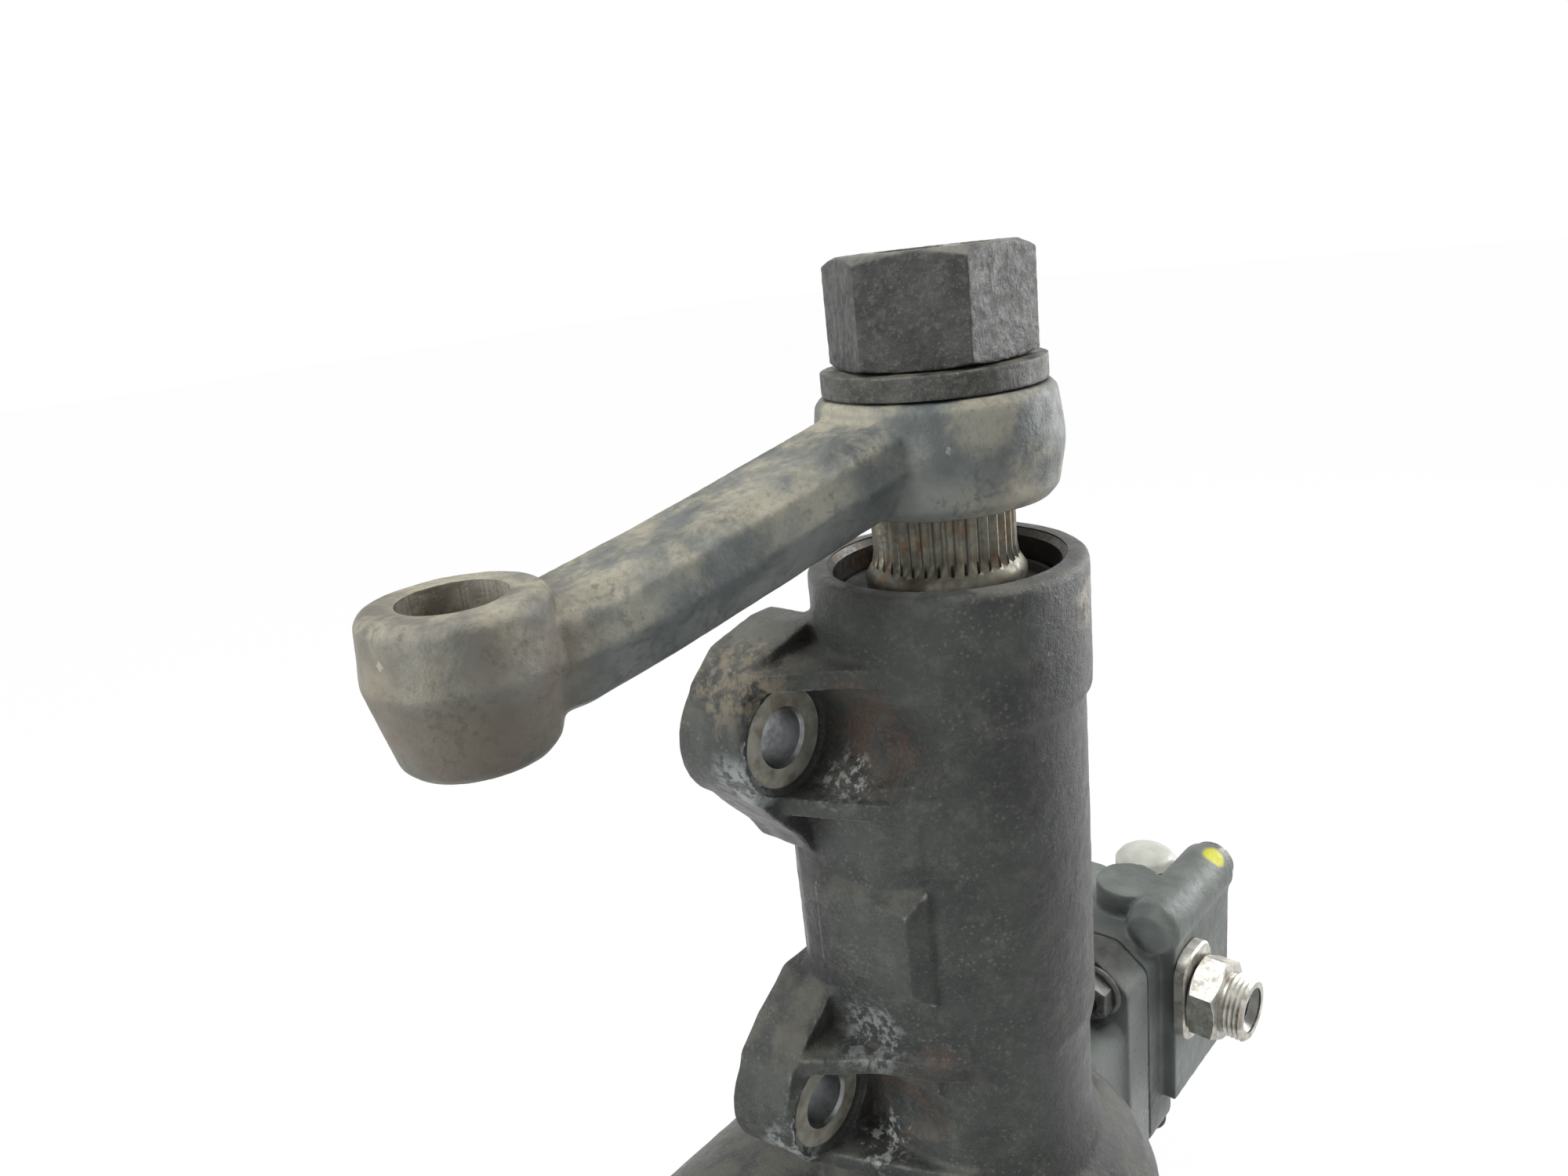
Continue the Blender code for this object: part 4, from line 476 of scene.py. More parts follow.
class Finish:
    """A node material built step by step on one Principled shader."""

    def __init__(self, name, metallic=0.0):
        self.material = bpy.data.materials.new(name)
        self.material.use_nodes = True
        self.tree = self.material.node_tree
        self.shader = self.tree.nodes["Principled BSDF"]
        self.shader.inputs["Metallic"].default_value = metallic
        self.place = self.add("ShaderNodeTexCoord").outputs["Object"]
        geometry = self.add("ShaderNodeNewGeometry")
        self.pointiness = geometry.outputs["Pointiness"]
        split = self.add("ShaderNodeSeparateXYZ", Vector=geometry.outputs["Normal"])
        self.up = split.outputs["Z"]
        self.tone = None

    def add(self, kind, settings=None, values=(), **inputs):
        """A node in this material."""
        return add_node(self.tree, kind, settings, values, **inputs)

    def noise(self, size, detail=4.0, roughness=0.55):
        """Noise with features of about a size in millimetres, from 0 to 1."""
        settings = {"Scale": 1.0 / (size * MM), "Detail": detail, "Roughness": roughness}
        return self.add("ShaderNodeTexNoise", Vector=self.place, **settings).outputs["Fac"]

    def patches(self, size, low, high, detail=4.0, roughness=0.55, out=(0.0, 1.0)):
        """Patches of noise with edges as soft as the step from low to high."""
        return self.step(self.noise(size, detail, roughness), low, high, out)

    def cells(self, size):
        """Distance to the nearest of scattered points, for grains and specks."""
        made = self.add("ShaderNodeTexVoronoi", Vector=self.place, Scale=1.0 / (size * MM))
        return made.outputs["Distance"]

    def math(self, operation, first, second):
        """One step of arithmetic."""
        return self.add("ShaderNodeMath", {"operation": operation}, (first, second)).outputs[0]

    def times(self, first, second):
        """The product of two values: strong only where both are."""
        return self.math("MULTIPLY", first, second)

    def step(self, value, low, high, out=(0.0, 1.0)):
        """A soft step from low to high."""
        smooth = {"interpolation_type": "SMOOTHSTEP"}
        return self.add("ShaderNodeMapRange", smooth, (value, low, high, *out)).outputs["Result"]

    def mix(self, factor, first, second):
        """A blend of two colours."""
        node = self.add("ShaderNodeMix", {"data_type": "RGBA"}, Factor=factor)
        for index, value in ((6, first), (7, second)):
            plug(self.tree, node.inputs[index], (*value, 1.0) if isinstance(value, tuple) else value)
        return node.outputs[2]

    def near(self, at, reach, wobble=0.35):
        """1 close to a spot and 0 beyond its reach, with a ragged edge."""
        spot = tuple(Vector(at) * MM)
        offset = self.add("ShaderNodeVectorMath", {"operation": "DISTANCE"}, (self.place, spot))
        ragged = self.times(self.noise(reach * 0.6, 3.0), wobble * reach * MM * 2)
        distance = self.math("ADD", offset.outputs["Value"], ragged)
        return self.step(distance, reach * MM * (1 + wobble), reach * MM * 0.8)

    def lying(self, low, high, patches):
        """Patches where the surface looks up."""
        return self.times(self.step(self.up, low, high), patches)

    def worn(self, low, high, patches):
        """Patches along sharp edges."""
        return self.times(self.step(self.pointiness, low, high), patches)

    def hollow(self, reach):
        """1 in a crevice or corner and 0 in the open."""
        shade = self.add("ShaderNodeAmbientOcclusion", {"samples": 8}, Distance=reach * MM)
        return self.math("SUBTRACT", 1.0, shade.outputs["AO"])

    def relief(self, *layers):
        """Bump from (height, depth in millimetres) layers."""
        under = {}
        for height, depth in layers:
            bump = self.add("ShaderNodeBump", Strength=1.0, Distance=depth * MM, Height=height, **under)
            under = {"Normal": bump.outputs["Normal"]}
        plug(self.tree, self.shader.inputs["Normal"], under["Normal"])

    def base(self, factor, dark, light):
        """Start the tone as a blend of two colours."""
        self.tone = self.mix(factor, dark, light)

    def lay(self, factor, colour):
        """Lay a colour over the tone where the factor says."""
        self.tone = self.mix(factor, self.tone, colour)

    def over(self, factor, strength, colour):
        """Lay a colour over the tone where the factor says, at a strength."""
        self.lay(self.times(factor, strength), colour)

    def satin(self, gloss, sheen):
        """Dull the gloss and add the pale veil that dust gives to surfaces seen at a low angle."""
        self.shader.inputs["Specular IOR Level"].default_value = gloss
        self.shader.inputs["Sheen Weight"].default_value = sheen
        self.shader.inputs["Sheen Roughness"].default_value = 0.35

    def done(self, roughness):
        """Link the tone and roughness and hand back the material."""
        plug(self.tree, self.shader.inputs["Base Color"], self.tone)
        plug(self.tree, self.shader.inputs["Roughness"], roughness)
        return self.material


def cast_paint():
    """Satin black paint on a sand casting, with grit, stained pockets, dust, bright worn edges, painted
    glints and a painted pale haze at the far end.
    """
    finish = Finish("cast_paint")
    finish.satin(0.36, 0.12)
    finish.base(finish.patches(22.0, 0.35, 0.65), (0.008, 0.010, 0.009), (0.024, 0.028, 0.025))
    hollow = finish.hollow(9.0)
    stain = finish.times(finish.step(hollow, 0.3, 0.75), finish.patches(7.0, 0.42, 0.62))
    finish.over(stain, 0.8, (0.038, 0.022, 0.013))
    open_side = finish.step(hollow, 0.35, 0.1)
    dust = finish.times(finish.patches(9.0, 0.4, 0.62, 6.0), open_side)
    film = finish.lying(0.15, 0.9, dust)
    finish.over(film, 0.5, (0.13, 0.125, 0.102))
    smear = finish.patches(6.0, 0.5, 0.66, 6.0, 0.7)
    finish.over(smear, 0.22, (0.10, 0.10, 0.085))
    smudge = finish.times(finish.near(DUST_SMUDGE, 8.0, 0.5), finish.patches(3.0, 0.4, 0.55, 6.0))
    finish.over(smudge, 0.8, (0.26, 0.23, 0.17))
    chip = finish.worn(0.52, 0.57, finish.patches(3.0, 0.4, 0.56))
    finish.over(chip, 0.7, (0.30, 0.31, 0.30))
    grains = finish.step(finish.cells(1.5), 0.30, 0.18)
    crowd = finish.patches(14.0, 0.42, 0.62, 3.0)
    finish.over(finish.times(grains, crowd), 0.2, (0.20, 0.20, 0.17))
    pale = finish.times(finish.step(finish.cells(1.9), 0.13, 0.05), crowd)
    finish.over(pale, 0.2, (0.34, 0.33, 0.30))
    mottle = finish.patches(1.3, 0.5, 0.68, 6.0, 0.8)
    finish.over(mottle, 0.35, (0.085, 0.088, 0.078))
    rust_dust_and_painted_light(finish)
    rough = finish.patches(4.0, 0.3, 0.7, 5.0, out=(0.26, 0.46))
    rough = finish.math("ADD", rough, finish.times(film, 0.3))
    finish.relief((finish.noise(4.5, 5.0), 0.3), (finish.noise(1.1, 5.0, 0.75), 0.42))
    return finish.done(rough)


def paint_under_painted_haze():
    """Black paint on the valve casting set paler as a painted haze, with painted shade in the hollows, a grey
    film on upward faces and one yellow dab.
    """
    finish = Finish("paint_under_painted_haze")
    finish.satin(0.30, 0.08)
    # Painted haze: the tone is set much paler than the black paint elsewhere, standing in for the pale blur
    # over the valve end.
    finish.base(finish.patches(16.0, 0.35, 0.65, 3.0), (0.085, 0.096, 0.090), (0.130, 0.144, 0.136))
    # Painted shade: a darker grey laid into the hollows.
    low = finish.step(finish.hollow(14.0), 0.3, 0.8)
    finish.over(low, 0.4, (0.055, 0.060, 0.056))
    film = finish.lying(0.1, 0.9, finish.patches(9.0, 0.35, 0.65, 4.0))
    finish.over(film, 0.4, (0.085, 0.090, 0.083))
    dab = finish.near((ROLL_END - 5.0, ROLL_Y - 4.2, ROLL_Z + 8.0), 4.6, 0.2)
    finish.lay(dab, (0.42, 0.41, 0.02))
    finish.relief((finish.noise(4.5, 5.0), 0.25), (finish.noise(1.1, 4.0), 0.12))
    return finish.done(finish.patches(5.0, 0.3, 0.7, out=(0.45, 0.62)))


def forged_skin():
    """Dark forged steel under tan dust, with scale, scratches and a brown, rusted eye end."""
    finish = Finish("forged_skin", 0.2)
    finish.base(finish.patches(14.0, 0.35, 0.65), (0.050, 0.060, 0.060), (0.105, 0.114, 0.107))
    eye = finish.near((*EYE_AT, EYE_TOP - 12), 24.0)
    finish.over(eye, 0.8, (0.105, 0.080, 0.052))
    patch = finish.patches(15.0, 0.4, 0.62, 7.0, 0.65)
    lying = finish.step(finish.up, -0.35, 0.8)
    film = finish.times(patch, lying)
    finish.over(film, 0.8, (0.31, 0.29, 0.22))
    boss = finish.near((8.0, -22.0, ARM_BOTTOM + 9), 30.0)
    finish.over(finish.times(boss, patch), 0.75, (0.30, 0.275, 0.205))
    scale = finish.patches(1.6, 0.53, 0.62, 4.0)
    grime = finish.times(scale, finish.patches(10.0, 0.42, 0.6))
    finish.over(grime, 0.4, (0.030, 0.028, 0.025))
    pits = finish.step(finish.cells(2.6), 0.22, 0.10)
    finish.over(pits, 0.25, (0.045, 0.040, 0.034))
    crust = finish.times(finish.patches(1.5, 0.48, 0.62, 6.0, 0.75), lying)
    finish.over(crust, 0.45, (0.105, 0.095, 0.072))
    rim = finish.times(finish.step(finish.hollow(8.0), 0.12, 0.45), eye)
    finish.over(rim, 0.85, (0.075, 0.034, 0.020))
    worn = finish.worn(0.52, 0.57, finish.patches(4.0, 0.4, 0.6))
    finish.over(worn, 0.45, (0.34, 0.33, 0.28))
    rough = finish.patches(4.0, 0.3, 0.7, out=(0.40, 0.62))
    rough = finish.math("ADD", rough, finish.times(film, 0.28))
    finish.relief((finish.noise(7.0, 4.0), 0.4), (finish.noise(1.0, 5.0, 0.75), 0.2))
    return finish.done(rough)


def gritty_steel(name, dark, light, grit, dust=0.5):
    """Dark steel with caked grit, for the nut, the washer and dark fasteners."""
    finish = Finish(name, 0.3)
    finish.base(finish.patches(6.0, 0.35, 0.65), dark, light)
    grains = finish.patches(1.3, 0.5, 0.62, 6.0, 0.7)
    finish.over(grains, 0.5, (0.085, 0.085, 0.075))
    crumbs = finish.step(finish.cells(1.1), 0.24, 0.14)
    finish.over(crumbs, dust * 0.5, (0.16, 0.155, 0.13))
    film = finish.lying(-0.1, 0.9, finish.patches(5.0, 0.38, 0.62, 5.0))
    finish.over(film, dust, (0.20, 0.185, 0.15))
    edge = finish.worn(0.54, 0.6, finish.patches(2.0, 0.4, 0.6))
    finish.over(edge, 0.6, (0.34, 0.34, 0.32))
    finish.relief((finish.noise(2.4, 5.0, 0.6), grit * 1.4), (finish.noise(0.7, 5.0, 0.8), grit))
    return finish.done(finish.patches(2.5, 0.3, 0.7, out=(0.34, 0.62)))


def bare_steel(name, colour, rough, stain=0.3, groove=0.0, metal=0.9):
    """Machined or plated steel with fine tool marks, dark crevices and light brown stain."""
    finish = Finish(name, metal)
    worn = tuple(value * 0.72 for value in colour)
    finish.base(finish.patches(3.5, 0.35, 0.65, 5.0), colour, worn)
    patch = finish.times(finish.patches(4.5, 0.5, 0.66, 5.0), stain)
    finish.lay(patch, (0.14, 0.085, 0.045))
    if groove:
        # Darker towards the bottom of grooves and crevices, by the occlusion mask.
        dirt = finish.times(finish.step(finish.hollow(1.6), 0.25, 0.7), groove)
        finish.lay(dirt, (0.03, 0.026, 0.022))
    finish.relief((finish.noise(0.5, 3.0, 0.6), 0.03))
    return finish.done(finish.patches(1.2, 0.3, 0.7, 4.0, out=(rough - 0.08, rough + 0.14)))


def soft_black():
    """Moulded black rubber with a dull bloom."""
    finish = Finish("moulded_rubber")
    finish.base(finish.patches(6.0, 0.35, 0.7), (0.012, 0.012, 0.012), (0.03, 0.029, 0.027))
    bloom = finish.times(finish.patches(2.2, 0.5, 0.7, 5.0), 0.35)
    finish.lay(bloom, (0.09, 0.08, 0.065))
    finish.relief((finish.noise(0.7, 3.0), 0.03))
    return finish.done(finish.patches(1.5, 0.3, 0.7, out=(0.45, 0.70)))


def pale_plastic():
    """Grey-beige transit cap with scuffs and dust."""
    finish = Finish("pale_plastic")
    finish.base(finish.patches(5.0, 0.35, 0.65), (0.345, 0.35, 0.31), (0.41, 0.415, 0.37))
    dirt = finish.times(finish.patches(2.5, 0.52, 0.68, 5.0), 0.45)
    finish.lay(dirt, (0.36, 0.33, 0.27))
    finish.relief((finish.noise(0.9, 3.0), 0.03))
    return finish.done(finish.patches(2.0, 0.3, 0.7, out=(0.34, 0.5)))


def rust_dust_and_painted_light(finish):
    """Brown rust in the bolt pockets and tan dust above them, with painted glints (whitish highlights painted
    below the seats and on the lower boss's shelf) and a painted pale haze over the housing's far end.
    """
    for level in (UPPER_Z, LOWER_Z):
        pocket = finish.near((MOUNT_X + 6.0, 4.0, level + 2.0), 17.0, 0.3)
        brown = finish.times(pocket, finish.patches(7.0, 0.4, 0.6, 5.0))
        finish.over(brown, 0.6, (0.055, 0.030, 0.018))
        # Painted glints: whitish patches below the seats that stand in for highlights.
        foot = finish.near((MOUNT_X + 7.0, SEAT_Y - 10.0, level - 11.0), 9.0, 0.4)
        painted_glint = finish.times(foot, finish.patches(2.4, 0.5, 0.6, 6.0, 0.7))
        finish.over(painted_glint, 0.75, (0.34, 0.36, 0.35))
        ear = finish.near((MOUNT_X - 10.0, SEAT_Y + 2.0, level - 6.0), 10.0, 0.4)
        patch = finish.times(ear, finish.patches(4.0, 0.44, 0.56, 6.0, 0.7))
        finish.over(patch, 0.6, (0.27, 0.30, 0.29))
    top = finish.near((MOUNT_X - 5.0, SEAT_Y + 4.0, UPPER_Z + 15.0), 15.0, 0.4)
    tan = finish.times(top, finish.patches(3.0, 0.42, 0.6, 6.0, 0.7))
    finish.over(tan, 0.6, (0.20, 0.165, 0.11))
    # Painted highlight: pale patches on the lower boss's shelf that stand in for bright highlights on its
    # ridges.
    shelf = finish.near((MOUNT_X + 5.0, 6.0, LOWER_Z + 20.0), 11.0, 0.4)
    painted_highlight = finish.times(shelf, finish.patches(2.6, 0.46, 0.58, 6.0, 0.7))
    finish.over(painted_highlight, 0.4, (0.28, 0.30, 0.295))
    spot = finish.near((-27.5, -9.0, LOWER_Z + 19.0), 5.0, 0.5)
    finish.over(spot, 0.3, (0.080, 0.040, 0.024))
    # Painted haze: a paler grey over the housing's far end, standing in for the pale blur of the bright
    # backdrop there.
    painted_pale_haze = finish.near((BARREL_RIGHT, 6.0, WORM_Z), 52.0, 0.1)
    finish.over(painted_pale_haze, 0.9, (0.175, 0.192, 0.183))


CAST_PAINT = cast_paint()
VALVE_PAINT = paint_under_painted_haze()
FORGED_SKIN = forged_skin()
NUT_STEEL = gritty_steel("nut_steel", (0.016, 0.018, 0.017), (0.040, 0.042, 0.039), 0.34)
WASHER_STEEL = gritty_steel("washer_steel", (0.020, 0.021, 0.019), (0.046, 0.046, 0.040), 0.24)
BOLT_STEEL = gritty_steel("bolt_steel", (0.05, 0.05, 0.05), (0.10, 0.10, 0.097), 0.05, 0.3)
SEAT_STEEL = bare_steel("seat_steel", (0.34, 0.34, 0.29), 0.42, 0.5, metal=0.35)
HOLE_STEEL = bare_steel("hole_steel", (0.26, 0.27, 0.275), 0.38, 0.1)
BORE_STEEL = bare_steel("bore_steel", (0.20, 0.20, 0.19), 0.34, 0.3)
# A darker copy of the bore steel for the bores and small holes: partly grease, partly painted shade inside
# them.
GREASY_SHADED_BORE = bare_steel("greasy_shaded_bore", (0.07, 0.066, 0.06), 0.4, 0.5)
SPLINE_STEEL = bare_steel("spline_steel", (0.155, 0.150, 0.122), 0.46, 0.6, 0.95)
PLATED_STEEL = bare_steel("plated_steel", (0.60, 0.59, 0.54), 0.42, 0.45, 0.5)
GROUND_STEEL = bare_steel("ground_steel", (0.50, 0.50, 0.48), 0.28, 0.15)
BRONZE = bare_steel("bronze", (0.46, 0.31, 0.15), 0.35, 0.2)
RUBBER = soft_black()
PALE_PLASTIC = pale_plastic()


def make_nut():
    """Tall hexagon nut with turned chamfers, a gritty skin and the bore for the threaded end."""
    corner_r = NUT_ACROSS_FLATS / sqrt(3)
    flat_r = NUT_ACROSS_FLATS / 2
    limit = [(0, NUT_PROUD), (flat_r - 0.6, NUT_PROUD), (corner_r + 0.2, NUT_PROUD - 1.9)]
    limit += [(corner_r + 0.2, NUT_BOTTOM + 0.8), (flat_r + 0.4, NUT_BOTTOM), (0, NUT_BOTTOM)]
    size = (NUT_ACROSS_FLATS, NUT_BOTTOM, NUT_PROUD)
    body = chamfered("tall_nut", *size, limit, NUT_STEEL, turn=NUT_TURN)
    skin(body, SMALL_VOXEL, 3, 0.22, 1.6)
    cut(body, Shape().rod(THREAD_R + GAP, NUT_BOTTOM - 2, NUT_PROUD + 2), BORE_STEEL)
    stands_for(body, "pitman_nut", "sector")


def make_washer():
    """Split spring washer with soft edges."""
    top = NUT_BOTTOM - GAP
    inner = THREAD_R + 1.2
    profile = [(inner, top), (WASHER_R, top), (WASHER_R, WASHER_BOTTOM), (inner, WASHER_BOTTOM)]
    washer = Shape().turned(profile, ring=True).made("spring_washer", WASHER_STEEL)
    skin(washer, SMALL_VOXEL, 4, 0.1, 1.4)
    half = WASHER_SPLIT / 2
    split = Shape().block((THREAD_R - 3, -half, WASHER_BOTTOM - 2), (WASHER_R + 4, half, top + 2))
    cut(washer, split, WASHER_STEEL)
    stands_for(washer, "lock_washer", "sector")


def make_arm():
    """Forged arm: big boss, beam that drops to the eye, bore for the splines and tapered eye hole."""
    mid = (ARM_TOP + ARM_BOTTOM) / 2
    boss = [(0, ARM_TOP), (ARM_BOSS_R - 2.6, ARM_TOP), (ARM_BOSS_R - 1.2, ARM_TOP - 1.6)]
    boss += [(ARM_BOSS_R, mid + 1), (ARM_BOSS_R, mid - 1), (ARM_BOSS_R - 1.4, ARM_BOTTOM + 2.4)]
    boss += [(ARM_BOSS_R - 3.4, ARM_BOTTOM), (0, ARM_BOTTOM)]
    shape = Shape().turned(boss)
    eye_mid = EYE_TOP - EYE_HEIGHT * 0.42
    eye = [(0, EYE_TOP), (EYE_R - 1.6, EYE_TOP), (EYE_R - 0.3, EYE_TOP - 1.6), (EYE_R + 0.7, eye_mid)]
    eye += [(EYE_R - 2.4, EYE_BOTTOM + 1.5), (EYE_R - 3.8, EYE_BOTTOM), (0, EYE_BOTTOM)]
    shape.turned(eye, at=(*EYE_AT, 0))
    add_beam(shape)
    arm = shape.made("forged_arm", FORGED_SKIN)
    skin(arm, FORGED_VOXEL, 9, 0.35, 9.0)
    cut(arm, Shape().rod(SPLINE_TIP_R + GAP, ARM_BOTTOM - 2, ARM_TOP + 2), GREASY_SHADED_BORE)
    hole = Shape().cone(EYE_HOLE_BOTTOM_R, EYE_HOLE_TOP_R, EYE_BOTTOM - 1, EYE_TOP + 1, (*EYE_AT, 0))
    cut(arm, hole, FORGED_SKIN)
    stands_for(arm, "pitman_arm", "sector")


def add_beam(shape):
    """The arm's tapering beam, from inside the boss to inside the eye."""
    direction = Vector((cos(radians(ARM_ANGLE)), sin(radians(ARM_ANGLE)), 0))
    across = Vector((-direction.y, direction.x, 0))
    top_big, top_small = ARM_TOP - 2.4, EYE_TOP - 3.0
    section = ((0.28, 0.0), (0.44, -0.16), (0.5, -0.475), (0.46, -0.575), (0.34, -0.91), (0.22, -1.0))
    stations = ((0.055, 0.0), (0.22, 0.02), (0.403, 0.32), (0.659, 0.74), (0.842, 0.99), (0.942, 1.0))
    rings = []
    for reach, share in stations:
        width = ARM_WIDTH_BIG + (ARM_WIDTH_SMALL - ARM_WIDTH_BIG) * reach
        spot = direction * (reach * ARM_LENGTH)
        spot.z = top_big + (top_small - top_big) * share
        ring = []
        for side, parts in ((1, section), (-1, section[::-1])):
            for part, drop in parts:
                ring.append(spot + across * (part * width * side) + Vector((0, 0, drop * ARM_DEPTH)))
        rings.append(ring)
    shape.loft(rings)


def spline_outline(count, tip_r, depth):
    """Serrations with a narrow land on each tip and a rounded root."""
    made = []
    step = 2 * pi / count
    flank_r = tip_r - depth * 0.8
    tooth = ((tip_r - depth, -0.5), (flank_r, -0.33), (tip_r, -0.1), (tip_r, 0.1), (flank_r, 0.33))
    for index in range(count):
        for radius, share in tooth:
            angle = (index + share) * step
            made.append((radius * cos(angle), radius * sin(angle)))
    return made


def make_sector_shaft():
    """Threaded end, splines that run out into the journal, and the sector's three teeth."""
    spline_top = ARM_TOP - 1.0
    spline_bottom = MOUTH_Z - 1.0
    profile = [(0, 0), (THREAD_R - 1.2, 0), (THREAD_R, -1.2)]
    root_r, core_r = THREAD_R - 0.8, THREAD_R + 0.6
    for index in range(THREAD_TURNS):
        level = -1.4 - index * THREAD_PITCH
        profile += [(THREAD_R, level), (root_r, level - 0.6), (root_r, level - 0.75)]
    profile += [(root_r, spline_top), (core_r, spline_top), (core_r, spline_bottom + 3)]
    profile += [(SHAFT_R - 1.2, spline_bottom), (SHAFT_R, spline_bottom - 2), (SHAFT_R, SECTOR_BOTTOM_Z + 2)]
    foot = COVER_FACE_Z - 3
    profile += [(15.0, SECTOR_BOTTOM_Z), (15.0, COVER_FACE_Z - 2), (14.0, foot), (0, foot)]
    shaft = Shape().turned(profile).made("splined_shaft", SPLINE_STEEL)
    outline = spline_outline(SPLINE_COUNT, SPLINE_TIP_R, SPLINE_DEPTH)
    flared = [[(x, y, level) for x, y in outline] for level in (spline_bottom + 3.2, spline_top - 1.6)]
    top = [(x * 0.93, y * 0.93, spline_top - 0.4) for x, y in outline]
    root = [(x * 1.03, y * 1.03, spline_bottom + 0.6) for x, y in outline]
    unite(shaft, Shape().loft([root, *flared, top]), SPLINE_STEEL)
    copy_of_teeth(shaft)
    cut(shaft, Shape().rod(POCKET_R, COVER_FACE_Z - 5, COVER_FACE_Z + 8), GROUND_STEEL)
    stands_for(shaft, "sector_shaft", "sector")


def copy_of_teeth(shaft):
    """Join the sector's teeth, taken from the outline of the node's own lower part."""
    node = frame["nodes"]["sector_shaft"]
    form = bmesh.new()
    form.from_mesh(node.data)
    cut_z = (SECTOR_TOP_Z + 3) * MM
    geometry = form.verts[:] + form.edges[:] + form.faces[:]
    bmesh.ops.bisect_plane(form, geom=geometry, plane_co=(0, 0, cut_z), plane_no=(0, 0, 1), clear_outer=True)
    edges = [edge for edge in form.edges if len(edge.link_faces) == 1]
    bmesh.ops.holes_fill(form, edges=edges)
    shape = Shape()
    shape.form.free()
    shape.form = form
    unite(shaft, shape, GROUND_STEEL)


def neck_profile():
    """Outer profile of the neck, the chamber and the cover flange."""
    profile = [(0, MOUTH_Z), (COLLAR_R - 1.2, MOUTH_Z), (COLLAR_R, MOUTH_Z - 1.2)]
    profile += [(COLLAR_R, MOUTH_Z - COLLAR_HEIGHT + 1.0), (NECK_R, MOUTH_Z - COLLAR_HEIGHT - 1.2)]
    top = CHAMBER_TOP_Z
    profile += [(NECK_R, top + 62), (WAIST_R, top + 55), (WAIST_R, top + 32), (WAIST_R + 2.2, top + 23.5)]
    profile += [(WAIST_R + 8.0, top + 18.5), (CHAMBER_OUT_R - 4.0, top + 13.5)]
    profile += [(CHAMBER_OUT_R - 0.8, top + 7), (CHAMBER_OUT_R, top)]
    profile += [(CHAMBER_OUT_R + 1, COVER_FACE_Z + 18), (COVER_R, COVER_FACE_Z + 12)]
    return profile + [(COVER_R, COVER_FACE_Z), (0, COVER_FACE_Z)]


def flange_outline():
    """Rounded outline of the joint between gear housing and valve housing, as (y, z)."""
    near, far = WORM_Y - 47.0, WORM_Y + 40.5
    low, high = WORM_Z - 40.5, WORM_Z + 44.0
    outline = [(near, low + 14), (near, high - 4), (near + 10, high + 4)]
    outline += [(far, high), (far, low), (near + 12, low)]
    return rounded(outline, 5.0)


def flange_bolts():
    """Places of the valve housing's four bolts, as (y, z); the first enters from the gear housing."""
    near, far = WORM_Y - 36.0, WORM_Y + 31.0
    low, high = WORM_Z - 31.0, WORM_Z + 34.5
    return [(near, high + 3.5), (near, low), (far, high), (far, low)]


def cover_bolts():
    """Places of the side cover's four bolts, as (x, y)."""
    return circle(COVER_BOLT_CIRCLE_R, 4, pi / 4)


def make_gear_housing():
    """The casting: neck, chamber, rack cylinder, bosses, ribs, web and pad, with its machined faces."""
    shape = Shape().turned(neck_profile())
    barrel = [(0, BARREL_RIGHT - 2), (BARREL_R, BARREL_RIGHT - 2), (BARREL_R, BARREL_LEFT + 14)]
    barrel += [(BARREL_R + 1.8, BARREL_LEFT + 11), (BARREL_R + 1.8, BARREL_LEFT + 1.5)]
    barrel += [(BARREL_R + 0.3, BARREL_LEFT), (0, BARREL_LEFT)]
    shape.turned(barrel, WORM_AXIS, "X")
    shape.prism(across_x(flange_outline()), BARREL_RIGHT - HOUSING_FLANGE, BARREL_RIGHT, WORM_AXIS, "X")
    low, high = WORM_Z - 24, WORM_Z + 28
    passage = rounded([(-1.0, low), (-1.0, high), (50.0, high), (50.0, low)], 6.0)
    shape.prism(across_x(passage), 19.6, BARREL_RIGHT - 6, WORM_AXIS, "X")
    for level in (UPPER_Z, LOWER_Z):
        add_boss(shape, level)
    add_web(shape)
    add_third_lug(shape)
    housing = shape.made("housing_casting", CAST_PAINT)
    skin(housing, CAST_VOXEL, 5)
    add_pad(housing)
    pockets = Shape()
    for level in (UPPER_Z, LOWER_Z):
        pockets.rod(SEAT_R, -45, SEAT_Y, (MOUNT_X, 0, level), "Y", 96)
    cut(housing, pockets, CAST_PAINT)
    skin(housing, CAST_VOXEL, 3, 0.25, 3.5)
    machine_housing(housing)
    stands_for(housing, "gear_housing", "housing")


def add_boss(shape, level):
    """A mounting boss with its bridge to the neck and the ribs above and below it."""
    outer = BOSS_FRONT_R + RIB - 0.6
    shape.cone(BOSS_FRONT_R, BOSS_REAR_R, SEAT_Y - 1.2, MOUNT_FACE_Y + 1, (MOUNT_X, 0, level), "Y")
    shape.block((MOUNT_X, SEAT_Y - 2, level - outer), (-4, MOUNT_FACE_Y + 1, level + outer))
    for side, left in ((1, MOUNT_X - 8.0), (-1, MOUNT_X - 3.0)):
        outline = [(left, SEAT_Y + 8), (left, SEAT_Y - 1), (-34.5, 3.0), (-30.4, -6.0)]
        outline += [(-26.6, -13.4), (-21.0, -17.0), (-8, -6), (-8, 26)]
        height = level + side * (outer - RIB / 2)
        shape.prism(rounded(outline, 2.0, 3), height - RIB / 2, height + RIB / 2)
        gusset = [(MOUNT_X + x, level + side * z) for x, z in EAR_OUTLINES[level, side]]
        shape.prism(across_y(gusset), SEAT_Y, MOUNT_FACE_Y + 1, axis="Y")


